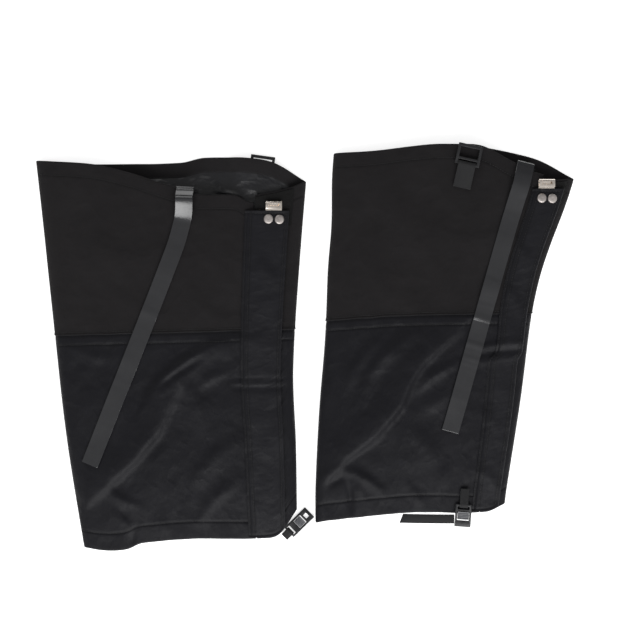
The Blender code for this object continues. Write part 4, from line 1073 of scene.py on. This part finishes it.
for sizes in GAITERS:
    side = sizes["side"]
    start = sizes["flap"][0] + FLAP_MARGIN
    back = [("back", "back", f) for f in spread(1 - FOLD_SHARE, FOLD_SHARE, 90)]
    front = [("front", "front", f) for f in spread(FOLD_SHARE, start, 40)]
    ankle = sizes["calf_line"] + sizes["ankle_height"]
    sizes["inner"] = [
        band(sizes, "boot_lining", back, lambda e, f: mouth_line(sizes, e, f) - 0.094,
             lambda e, f: mouth_line(sizes, e, f) - HEM_DEPTH + 0.001, 44, -0.0011, 0.0005,
             mouth_lining, "lining", ruffle=0.0036),
        band(sizes, "ankle_elastic", back, lambda e, f: ankle - 0.007,
             lambda e, f: ankle + 0.007, 4, -0.0013, 0.0007, elastic_rib, "elastic"),
        band(sizes, "seam_tape", front, lambda e, f: seam(sizes, f) - 0.006,
             lambda e, f: seam(sizes, f) + 0.006, 4, -0.0018, 0.0006, loop_pile, "lining"),
    ]
    middle = (CALF_HEM_DEPTH - DRAW_WIDTH) / 2
    inside = [c for c in wrapped_columns(sizes) if 0.012 < c[2] < 0.988]
    for layer, node in (("front", "draw_strap_front"), ("back", "draw_strap_back")):
        part = [c for c in inside if c[0] == layer and c[1] != "placket"]
        sizes["inner"].append(
            band(sizes, node, part, lambda e, f: bottom(sizes, f) + middle,
                 lambda e, f: bottom(sizes, f) + middle + DRAW_WIDTH, 3, -0.0014, 0.0010,
                 draw_webbing, "webbing"))
    print(side, "inner bands", [p.name for p in sizes["inner"]])

# %% [markdown]
# ## The closure
# The storm flap is two plies folded at the free edge. It is sewn down along its root, so it
# starts flat on the front and swells over the tapes. The whole flap turns up when it is opened,
# and only its root bends, so it is blended between the two bodies over its first centimetre.

# %% Storm flap
FLAP_TURN = (90, 54, 18, -18, -54, -90)   # degrees round the free edge's fold
PLY = 0.00068             # thickness of one ply of the flap
PLY_MIDDLE = 0.00038      # from the flap's face to the middle of its ply
UPPER_ROOT, LOWER_ROOT = 0.0016, 0.0009   # offsets of the plies where they are sewn down
SWELL = 0.032             # share of the width over which the upper ply rises to its height
LOWER_START = 0.008       # share from the sewn edge to the lower ply
LOWER_SWELL = 0.028       # share of the width over which the lower ply rises
FREE_FOLD = 0.0025        # share of the width taken by the fold at the free edge
FLAP_FOOT = 0.002         # metres from the calf edge to the flap
BEND_WIDTH = 0.009        # metres beyond the hinge line over which the flap bends
TAPE_INSET = (0.050, 0.012)
TAPE_FOOT = 0.006         # metres from the calf edge to the tapes
TAPE_HEAD = 0.0085        # metres from the rivets to the tapes' ends
TAPE_MIDDLE = 0.0004
LEFT["flap_shift"] = [(-0.25, 0.0), (0.25, 0.0)]
RIGHT["flap_shift"] = [(-0.195, -0.0020), (-0.150, -0.0022), (-0.090, -0.0030),
                       (-0.045, -0.0046), (-0.0125, -0.0052), (-0.0060, 0.0010),
                       (0.0400, 0.0006), (0.0900, 0.0), (0.1700, 0.0)]


def flap_column(sizes, share, ply):
    """Offset of the flap's upper or lower ply at a share of the width."""
    left = sizes["flap"][0]
    if ply == "upper":
        low, high = UPPER_ROOT, FLAP_OUT - PLY_MIDDLE
        return low + (high - low) * fade(share, left, left + SWELL)
    low, high = LOWER_ROOT, FLAP_IN + PLY_MIDDLE
    start = left + LOWER_START
    return low + (high - low) * fade(share, start, start + LOWER_SWELL)


def flap_point(sizes, share, y, offset):
    """A point of the flap, moved aside where the ankle's gathers pull it."""
    left, right = sizes["flap"]
    across_flap = (share - left) / (right - left)
    point = place_on(sizes, "front", share, y, offset)
    point.x += sizes["shift_at"](y) * (1 - 0.45 * across_flap)
    wave = noise.noise(Vector((point.x * 40, y * 36, 9.4)))
    point.z += 0.0011 * max(0.0, wave) * fade(across_flap, 0.1, 0.5)
    return point


def flap_rows(sizes):
    left, right = sizes["flap"]
    upper = [(f, flap_column(sizes, f, "upper")) for f in spread(left, right - 0.003, 26)]
    middle = (FLAP_IN + FLAP_OUT) / 2
    curl = []
    for angle in FLAP_TURN:
        turn = math.radians(angle)
        curl.append((right - FREE_FOLD + FREE_FOLD * math.cos(turn),
                     middle + (FLAP_OUT - PLY_MIDDLE - middle) * math.sin(turn)))
    lower = [(f, flap_column(sizes, f, "lower")) for f in spread(right - 0.003, left + LOWER_START, 12)]
    return upper + curl + lower


def bend_with_flap(sizes, piece):
    """The root stays sewn down, and beyond a narrow band the cloth is free."""
    side = sizes["side"]
    joint = next(j for j in frame["joints"] if j["name"] == side + "_flap_hinge")
    hinge = Vector(joint["pos_m"])
    over = Vector((0, 0, 1)).cross(Vector(joint["axis"])).normalized()
    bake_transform(piece, side + "_gaiter", side + "_storm_flap",
             start=hinge, end=hinge + over * BEND_WIDTH)


def make_flap(sizes):
    side = sizes["side"]
    left, right = sizes["flap"]
    head = sizes["calf_line"] + sizes["length"] - sizes["flap_drop"]
    sizes["shift_at"] = smooth(sizes["flap_shift"])
    columns = flap_rows(sizes)
    points, uvs, edges, seams = [], [], [], []
    for s in spread(0, 1, 110):
        line, edge_line, seam_line_ = [], [], []
        for f, offset in columns:
            foot = bottom(sizes, f) + FLAP_FOOT
            y = foot + (head - foot) * s
            width = sizes["at"]["width"]((y - sizes["calf_line"]) / sizes["length"])
            line.append(flap_point(sizes, f, y, offset))
            edge_line.append((f - left) * width)
            seam_line_.append(min((right - f) * width, head - y, y - foot + 0.001))
        points.append(line)
        edges.append(edge_line)
        seams.append(seam_line_)
    middle = lengths_along(points[55])
    up = lengths_along([line[10] for line in points])
    uvs = [[(middle[c], up[r]) for c in range(len(columns))] for r in range(len(points))]
    piece = laid_sheet(f"{side}_flap_cloth", points, uvs, PLY, flap_nylon, "calf_nylon",
                       edges, seams)
    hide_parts(f"{side}_storm_flap", f"{side}_flap_root")
    bend_with_flap(sizes, piece)
    sizes["flap_piece"] = piece
    sizes["flap_flat"] = (middle[-1], up[-1])
    return piece


for sizes in GAITERS:
    flap = make_flap(sizes)
    print(flap.name, len(flap.data.polygons), "faces")

# %% Hook tape under the flap, loop tape and loop patch on the gaiter
def tape_sheet(sizes, name, shares, low, high, offset, thickness, finish, body, replaced,
               ruffle=0.0):
    rows = 60
    points = []
    for s in spread(0, 1, rows):
        line = []
        for f in shares:
            y = low(f) + (high(f) - low(f)) * s
            p = place_on(sizes, "front", f, y, offset)
            p.x += sizes["shift_at"](y) * 0.6
            p.z += ruffle * max(0.0, noise.noise(Vector((p.x * 90, y * 90, 3.3))))
            line.append(p)
        points.append(line)
    middle = lengths_along(points[rows // 2])
    up = lengths_along([line[0] for line in points])
    uvs = [[(middle[c], up[r]) for c in range(len(shares))] for r in range(rows + 1)]
    piece = laid_sheet(f"{sizes['side']}_{name}_strip", points, uvs, thickness, finish,
                       "hook_and_loop")
    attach(piece, body)
    if replaced:
        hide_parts(f"{sizes['side']}_{name}")
    cut = (middle[-1], up[-1])
    print(piece.name, "cut", [round(v, 4) for v in cut])
    return piece


for sizes in GAITERS:
    side = sizes["side"]
    left, right = sizes["flap"]
    tape_end = sizes["rivets"][0][1] - TAPE_HEAD
    tape = spread(left + TAPE_INSET[0], right - TAPE_INSET[1], 10)
    tape_sheet(sizes, "hook_tape", tape, lambda f: bottom(sizes, f) + TAPE_FOOT,
               lambda f: tape_end, HOOK_TAPE_IN + TAPE_MIDDLE, 0.0007, hook_stems,
               side + "_storm_flap", True)
    tape_sheet(sizes, "loop_tape", tape, lambda f: bottom(sizes, f) + TAPE_FOOT,
               lambda f: tape_end, LOOP_TAPE_IN + TAPE_MIDDLE, 0.0007, loop_pile,
               side + "_gaiter", True)
    start = left + FLAP_MARGIN + 0.004
    patch = tape_sheet(sizes, "loop_patch", spread(start, right + 0.012, 24),
                       lambda f: tape_end + 0.001,
                       lambda f: mouth_line(sizes, "placket", f) - 0.0022,
                       LOOP_TAPE_IN + 0.0001, 0.0008, loop_pile, side + "_gaiter", False,
                       ruffle=0.0005)
    print(patch.name, len(patch.data.polygons), "faces")

# %% [markdown]
# ## Instep straps
# Each strap is sewn inside the boot hem, turns round the mouth edge and lies down the front. It
# is stiffer than the cloth, so it bridges the hollows between folds and stands up in a hump
# just past its turn. One strip makes the whole run, and its turn bends when the strap lifts.

# %% Instep strap
LEFT["strap_stands"] = [(0.0, 0.0), (0.0020, 0.0010), (0.0050, 0.0044), (0.0080, 0.0078),
                        (0.0110, 0.0092), (0.0150, 0.0082), (0.0220, 0.0052),
                        (0.0300, 0.0016), (0.0345, 0.0002), (0.0400, 0.0), (1.0, 0.0)]
RIGHT["strap_stands"] = [(0.0, 0.0), (0.0040, 0.0010), (0.0120, 0.0030), (0.0240, 0.0042),
                         (0.0400, 0.0020), (0.0560, 0.0), (0.1250, 0.0), (0.1420, 0.0015),
                         (0.1640, 0.0), (1.0, 0.0)]


STRAP_ROOT = 0.018        # metres of strap sewn inside the hem
STRAP_LIFT = 0.0006       # least gap between the strap and the cloth below it
BEND_RISE, BEND_RUN = 625, 32   # 1/m: free 1.6 mm above the turn's start, or 31 mm along it


def strap_path(sizes, count):
    """Even places along a smooth line through the strap's plan points."""
    points = sizes["strap"]
    lengths = [0.0]
    for a, b in zip(points, points[1:]):
        lengths.append(lengths[-1] + math.dist(a, b))
    x_at = smooth([(s, p[0]) for s, p in zip(lengths, points)])
    y_at = smooth([(s, p[1]) for s, p in zip(lengths, points)])
    places = []
    for i in range(count + 1):
        s = lengths[-1] * (i / count) ** 1.15
        reach = 0.026 * fade(s, 0.004, 0.05) * fade(lengths[-1] - s, 0.0, 0.05)
        near = [s + reach * k / 4 for k in range(-4, 5)]
        places.append((s, Vector((sum(x_at(v) for v in near) / 9,
                                  sum(y_at(v) for v in near) / 9, 0))))
    return places


def strap_turn(sizes):
    """Frame of the strap's turn: X across, Y back towards the mouth, Z up."""
    edge = Vector((*sizes["strap"][0], 0))
    down = (Vector((*sizes["strap"][1], 0)) - edge).normalized()
    over = Vector((-down.y, down.x, 0))
    heights = []
    for x in (-STRAP_WIDTH / 2, STRAP_WIDTH / 2):
        p = edge + over * x
        f = share_across(sizes, p.x, p.y)
        heights.append(section(sizes, "front", f, p.y)[1] + SHELL_OUT)
    leaning = Vector((over.x, over.y, (heights[1] - heights[0]) / STRAP_WIDTH)).normalized()
    up = leaning.cross(-down)
    middle = Vector((edge.x, edge.y, sum(heights) / 2 - SHELL_OUT)) + up * TURN_CENTRE
    turn = Matrix((leaning, -down, up)).transposed().to_4x4()
    return Matrix.Translation(middle) @ turn, down, up


def make_strap(sizes):
    side = sizes["side"]
    half = STRAP_WIDTH / 2
    steps = spread(-half, half, 6)
    place, down, up = strap_turn(sizes)
    rows = []
    for y in spread(-STRAP_ROOT, -0.002, 8):
        rows.append([place @ Vector((x, y, -TURN_RADIUS)) for x in steps])
    for angle in range(-90, 91, 15):
        turn = math.radians(angle)
        rows.append([place @ Vector((x, TURN_RADIUS * math.cos(turn),
                                     TURN_RADIUS * math.sin(turn))) for x in steps])
    path = strap_path(sizes, 170)
    stands = smooth(sizes["strap_stands"])
    raw = []
    for i, (s, centre) in enumerate(path):
        ahead = path[min(i + 1, len(path) - 1)][1]
        before = path[max(i - 1, 0)][1]
        over = Vector((-(ahead - before).y, (ahead - before).x, 0)).normalized()
        ends = [front_height(sizes, *(centre + over * x).to_2d()) for x in (-half, 0, half)]
        raw.append((s, centre, over, ends))
    for i, (s, centre, over, ends) in enumerate(raw):
        if s < 0.0015:
            continue
        near = [r for r in raw if abs(r[0] - s) < 0.016]
        weights = [math.exp(-((r[0] - s) / 0.009) ** 2) for r in near]
        level = [sum(w * r[3][k] for w, r in zip(weights, near)) / sum(weights)
                 for k in range(3)]
        stand = max(e - l for e, l in zip(ends, level))
        arch = max(level[1] - (level[0] + level[2]) / 2, 0.0)
        hump = stands(s)
        settle = fade(s, 0.0015, 0.012)
        row = []
        for x in steps:
            share = (x + half) / STRAP_WIDTH
            z = level[0] + (level[2] - level[0]) * share + arch
            z += max(stand, 0.0) * settle + STRAP_LIFT + STRAP / 2 + hump
            p = centre + over * x
            row.append(Vector((p.x, p.y, z)))
        rows.append(row)
    points = [[p + FRAME_SHIFT for p in reversed(row)] for row in rows]
    along = lengths_along([row[3] for row in points])
    uvs = [[(x + half, along[r]) for x in steps] for r in range(len(points))]
    strap = laid_sheet(f"{side}_strap_run", points, uvs, STRAP * 0.92, coated_strap,
                       "webbing")
    soften_edges(strap, 0.00035, 2)
    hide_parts(f"{side}_instep_strap", f"{side}_instep_strap_root")
    across_turn = up * BEND_RISE + down * BEND_RUN
    middle = place.translation + FRAME_SHIFT
    start = middle - up * 0.0008
    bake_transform(strap, side + "_gaiter", side + "_free_strap", start=start,
             end=start + across_turn / across_turn.length_squared)
    sizes["strap_flat"] = (STRAP_WIDTH, along[-1])
    return strap


def soften_edges(piece, width, segments, angle=40.0):
    """Round the edges that are sharper than an angle, for good."""
    nothing_selected()
    bpy.context.view_layer.objects.active = piece
    bevel = piece.modifiers.new("soft_edges", "BEVEL")
    bevel.width = width
    bevel.segments = segments
    bevel.limit_method = "ANGLE"
    bevel.angle_limit = math.radians(angle)
    bevel.use_clamp_overlap = True
    bpy.ops.object.modifier_apply(modifier=bevel.name)
    piece.select_set(True)
    bpy.ops.object.shade_smooth_by_angle(angle=math.radians(35.0))


for sizes in GAITERS:
    strap = make_strap(sizes)
    sizes["strap_piece"] = strap
    print(strap.name, round(sizes["strap_flat"][1], 3), "m long")

# %% [markdown]
# ## Buckles, rivets and hooks
# The moulded and metal pieces keep their solids' shapes, since the webbing is threaded to fit
# them. Each is copied, cleaned and given rounded edges. The rivets are turned afresh, so that
# their caps are round.

# %% Softened copies of the small solids
def softened_copy(node, finish, slot_name, width, segments=2, angle=30.0):
    nothing_selected()
    source = frame["nodes"][node]
    source.select_set(True)
    bpy.context.view_layer.objects.active = source
    bpy.ops.object.duplicate()
    piece = bpy.context.active_object
    piece.name = node + "_shaped"
    bpy.ops.object.mode_set(mode="EDIT")
    bpy.ops.mesh.select_all(action="SELECT")
    bpy.ops.mesh.remove_doubles(threshold=0.00001)
    bpy.ops.mesh.dissolve_limited(angle_limit=math.radians(1.0))
    bpy.ops.object.mode_set(mode="OBJECT")
    if piece.data.has_custom_normals:
        bpy.ops.mesh.customdata_custom_splitnormals_clear()
    soften_edges(piece, width, segments, angle)
    piece.data.materials.clear()
    piece.data.materials.append(finish)
    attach(piece, body_of(source)[0])
    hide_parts(node)
    return piece


for sizes in GAITERS:
    side = sizes["side"]
    tab_turn = -sizes["strap_buckle"][2]
    tab_webbing = webbing_finish(side + "_tab_webbing", (0.0105, 0.0105, 0.0115), tab_turn)
    loop_webbing = webbing_finish(side + "_loop_webbing", (0.0105, 0.0105, 0.0115),
                                  -sizes["calf_buckle"][2])
    for name, finish, slot_name, width in (
            ("strap_buckle", buckle_plastic, "buckle_plastic", 0.00035),
            ("calf_buckle_frame", buckle_plastic, "buckle_plastic", 0.00030),
            ("calf_buckle_cam", cam_plastic, "cam_plastic", 0.00018),
            ("lace_hook", bright_plate, "nickel", 0.00018),
            ("buckle_tab", tab_webbing, "webbing", 0.00025),
            ("calf_buckle_loop", loop_webbing, "webbing", 0.00025),
            ("strap_anchor_patch", tab_webbing, "webbing", 0.00020)):
        piece = softened_copy(f"{side}_{name}", finish, slot_name, width)
    print(side, "last softened piece", piece.name, len(piece.data.polygons), "faces")
tail_webbing = webbing_finish("tail_webbing", (0.0105, 0.0105, 0.0115), 0.0)
softened_copy("right_draw_strap_tail", tail_webbing, "webbing", 0.00025)

# %% Rivets
CAP_LINE = [(0.0, 0.90), (0.20, 0.90), (0.24, 1.0), (0.50, 0.98), (0.72, 0.93), (0.86, 0.82),
            (0.94, 0.64), (0.985, 0.40), (1.0, 0.20), (1.0, 0.08), (0.97, 0.0)]
CAP_RADIUS = 0.0052
CAP_HEIGHT = 0.0019


def make_rivet(name, sizes, x, y):
    """A cap turned round its own axis, standing on the flap."""
    nothing_selected()
    bpy.ops.mesh.primitive_circle_add(vertices=3, radius=CAP_RADIUS)
    cap = bpy.context.active_object
    cap.name = name
    profile = [(CAP_RADIUS * r, 0.0, CAP_HEIGHT * h) for r, h in CAP_LINE]
    links = [(i, i + 1) for i in range(len(profile) - 1)]
    cap.data.clear_geometry()
    cap.data.from_pydata(profile, links, [])
    bpy.ops.object.mode_set(mode="EDIT")
    bpy.ops.mesh.select_all(action="SELECT")
    bpy.ops.mesh.spin(steps=40, angle=math.tau, center=(0, 0, 0), axis=(0, 0, 1))
    bpy.ops.mesh.select_all(action="SELECT")
    bpy.ops.mesh.remove_doubles(threshold=0.000005)
    bpy.ops.mesh.normals_make_consistent(inside=False)
    bpy.ops.object.mode_set(mode="OBJECT")
    place = flat_frame(sizes, x, y) @ Matrix.Translation((0, 0, FLAP_OUT + 0.0003))
    cap.data.transform(place)
    return cap


for sizes in GAITERS:
    side = sizes["side"]
    for which, (x, y) in zip(("inner", "outer"), sizes["rivets"]):
        cap = make_rivet(f"{side}_rivet_{which}_cap", sizes, x, y)
        finish_piece(cap, plated_nickel, "nickel", 40.0)
        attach(cap, side + "_storm_flap")
        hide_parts(f"{side}_rivet_{which}")
    print(side, "rivet cap", len(cap.data.polygons), "faces")

# %% [markdown]
# ## Stitching
# One stitch is modelled and copied at an even pitch along each seam. It stands just off the
# cloth, where the thread would, and each run moves with the cloth it sews.

# %% The stitch and the runs
STITCH_PITCH = 0.0031
nothing_selected()
bpy.ops.mesh.primitive_uv_sphere_add(segments=6, ring_count=5, radius=1.0)
pattern = bpy.context.active_object
pattern.name = "stitch_pattern"
pattern.rotation_euler = (0.0, math.radians(90), 0.0)
bpy.ops.object.transform_apply(location=False, rotation=True, scale=False)
stitch_points = np.array([tuple(v.co) for v in pattern.data.vertices])
stitch_faces = [tuple(p.vertices) for p in pattern.data.polygons]
stitch_points *= (0.00112, 0.00024, 0.00020)
bpy.data.objects.remove(pattern)
print("stitch", len(stitch_faces), "faces")


def stitch_run(name, line, outs, slot_name, pitch=STITCH_PITCH):
    """One mesh of even stitches along a line of points, lying flat to the cloth."""
    line = np.array([tuple(p) for p in line])
    outs = np.array([tuple(o) for o in outs])
    steps = np.linalg.norm(np.diff(line, axis=0), axis=1)
    along = np.concatenate([[0.0], np.cumsum(steps)])
    places = np.arange(pitch / 2, along[-1] - 0.0012, pitch)

    def read(table, at):
        return np.stack([np.interp(at, along, table[:, k]) for k in range(3)], axis=1)

    def unit(table):
        return table / np.linalg.norm(table, axis=1, keepdims=True)

    middle = (read(line, places - 0.0008) + read(line, places + 0.0008)) / 2
    run = unit(read(line, places + 0.0010) - read(line, places - 0.0010))
    across_run = unit(np.cross(read(outs, places), run))
    up = np.cross(run, across_run)
    wander = 0.05 * np.sin(places * 5100.0)[:, None]
    run, across_run = run + wander * across_run, across_run - wander * run
    points = (middle[:, None] + stitch_points[None, :, 0:1] * run[:, None]
              + stitch_points[None, :, 1:2] * across_run[:, None]
              + stitch_points[None, :, 2:3] * up[:, None]).reshape(-1, 3)
    count = len(stitch_points)
    faces = [tuple(v + count * k for v in face)
             for k in range(len(places)) for face in stitch_faces]
    nothing_selected()
    bpy.ops.mesh.primitive_plane_add(size=1.0)
    piece = bpy.context.active_object
    piece.name = name
    piece.data.clear_geometry()
    piece.data.from_pydata(points.tolist(), [], faces)
    return finish_piece(piece, thread_finish, slot_name)


def run_round(sizes, name, columns, height, offset, slot_name):
    """Stitches that run round the tube at a height that changes with the share."""
    line, outs = [], []
    for layer, edge, f in columns:
        y = height(edge, f)
        near = place_on(sizes, layer, f, y, offset * (squeeze(f) if offset < 0 else 1))
        far = place_on(sizes, layer, f, y, offset + 0.001)
        near.z = max(near.z, 0.00022)
        line.append(near)
        outs.append((far - near) * (1 if offset > 0 else -1))
    piece = stitch_run(f"{sizes['side']}_{name}", line, outs, slot_name)
    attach(piece, sizes["side"] + "_gaiter")
    return piece


def finer(columns):
    """The same columns with three more between each two of one layer."""
    found = []
    for a, b in zip(columns, columns[1:]):
        found.append(a)
        if a[0] == b[0]:
            found += [(a[0], a[1], a[2] + (b[2] - a[2]) * k / 4) for k in (1, 2, 3)]
    return found + [columns[-1]]


for sizes in GAITERS:
    columns = finer(wrapped_columns(sizes))
    clear_of_flap = [c for c in columns if c[1] != "placket"]
    sizes["threads"] = [
        run_round(sizes, "hem_stitches_outside", clear_of_flap,
                  lambda e, f: mouth_line(sizes, e, f) - 0.0150, 0.00056, "boot_cloth"),
        run_round(sizes, "hem_stitches_inside", clear_of_flap,
                  lambda e, f: mouth_line(sizes, e, f) - 0.0150, -0.00186, "boot_cloth"),
        run_round(sizes, "seam_stitches_upper", clear_of_flap,
                  lambda e, f: seam_line(sizes, f) + 0.0026, 0.00072, "boot_cloth"),
        run_round(sizes, "seam_stitches_lower", clear_of_flap,
                  lambda e, f: seam_line(sizes, f) - 0.0110, 0.00044, "calf_nylon"),
        run_round(sizes, "calf_hem_stitches", clear_of_flap,
                  lambda e, f: calf_line(sizes, f) + 0.0190, 0.00044, "calf_nylon"),
    ]
    print(sizes["side"], "stitched", [len(p.data.polygons) // len(stitch_faces)
                                      for p in sizes["threads"]])

# %% Stitching of the flaps
def flap_run(sizes, name, share_of, low, high, blended):
    """Stitches up the flap at a share that may change with y."""
    line, outs = [], []
    for s in spread(0, 1, 240):
        y = low + (high - low) * s
        f = share_of(y)
        offset = flap_column(sizes, f, "upper") + 0.00040
        line.append(flap_point(sizes, f, y, offset))
        outs.append(flap_point(sizes, f, y, offset + 0.001) - line[-1])
    piece = stitch_run(f"{sizes['side']}_{name}", line, outs, "calf_nylon")
    if blended:
        bend_with_flap(sizes, piece)
    else:
        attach(piece, sizes["side"] + "_storm_flap")
    return piece


for sizes in GAITERS:
    left, right = sizes["flap"]
    head = sizes["calf_line"] + sizes["length"] - sizes["flap_drop"]
    foot = max(bottom(sizes, left), bottom(sizes, right)) + 0.004

    def inset(metres, edge):
        def share(y):
            width = sizes["at"]["width"]((y - sizes["calf_line"]) / sizes["length"])
            return left + metres / width if edge == "root" else right - metres / width
        return share

    for name, metres, edge, blended in (
            ("flap_root_stitches_a", 0.0018, "root", True),
            ("flap_root_stitches_b", 0.0066, "root", True),
            ("flap_edge_stitches", 0.0032, "free", False)):
        sizes["threads"].append(flap_run(sizes, name, inset(metres, edge), foot, head - 0.002,
                                         blended))
    line, outs = [], []
    for f in spread(left + 0.036, right - 0.012, 60):
        offset = flap_column(sizes, f, "upper") + 0.00040
        line.append(flap_point(sizes, f, head - 0.003, offset))
        outs.append(flap_point(sizes, f, head - 0.003, offset + 0.001) - line[-1])
    piece = stitch_run(f"{sizes['side']}_flap_head_stitches", line, outs, "calf_nylon")
    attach(piece, sizes["side"] + "_storm_flap")
    print(sizes["side"], "runs", len(sizes["threads"]) + 1)

# %% [markdown]
# ## Flat sizes
# Every sheet prints the size it was cut to. The bands and tapes printed theirs as they were
# made, and the large pieces follow here.

# %% Flat sizes of the large sheets
for sizes in GAITERS:
    side = sizes["side"]
    for key in ("boot_flat", "calf_flat", "flap_flat", "strap_flat"):
        print(side, key, [round(v, 3) for v in sizes[key]])
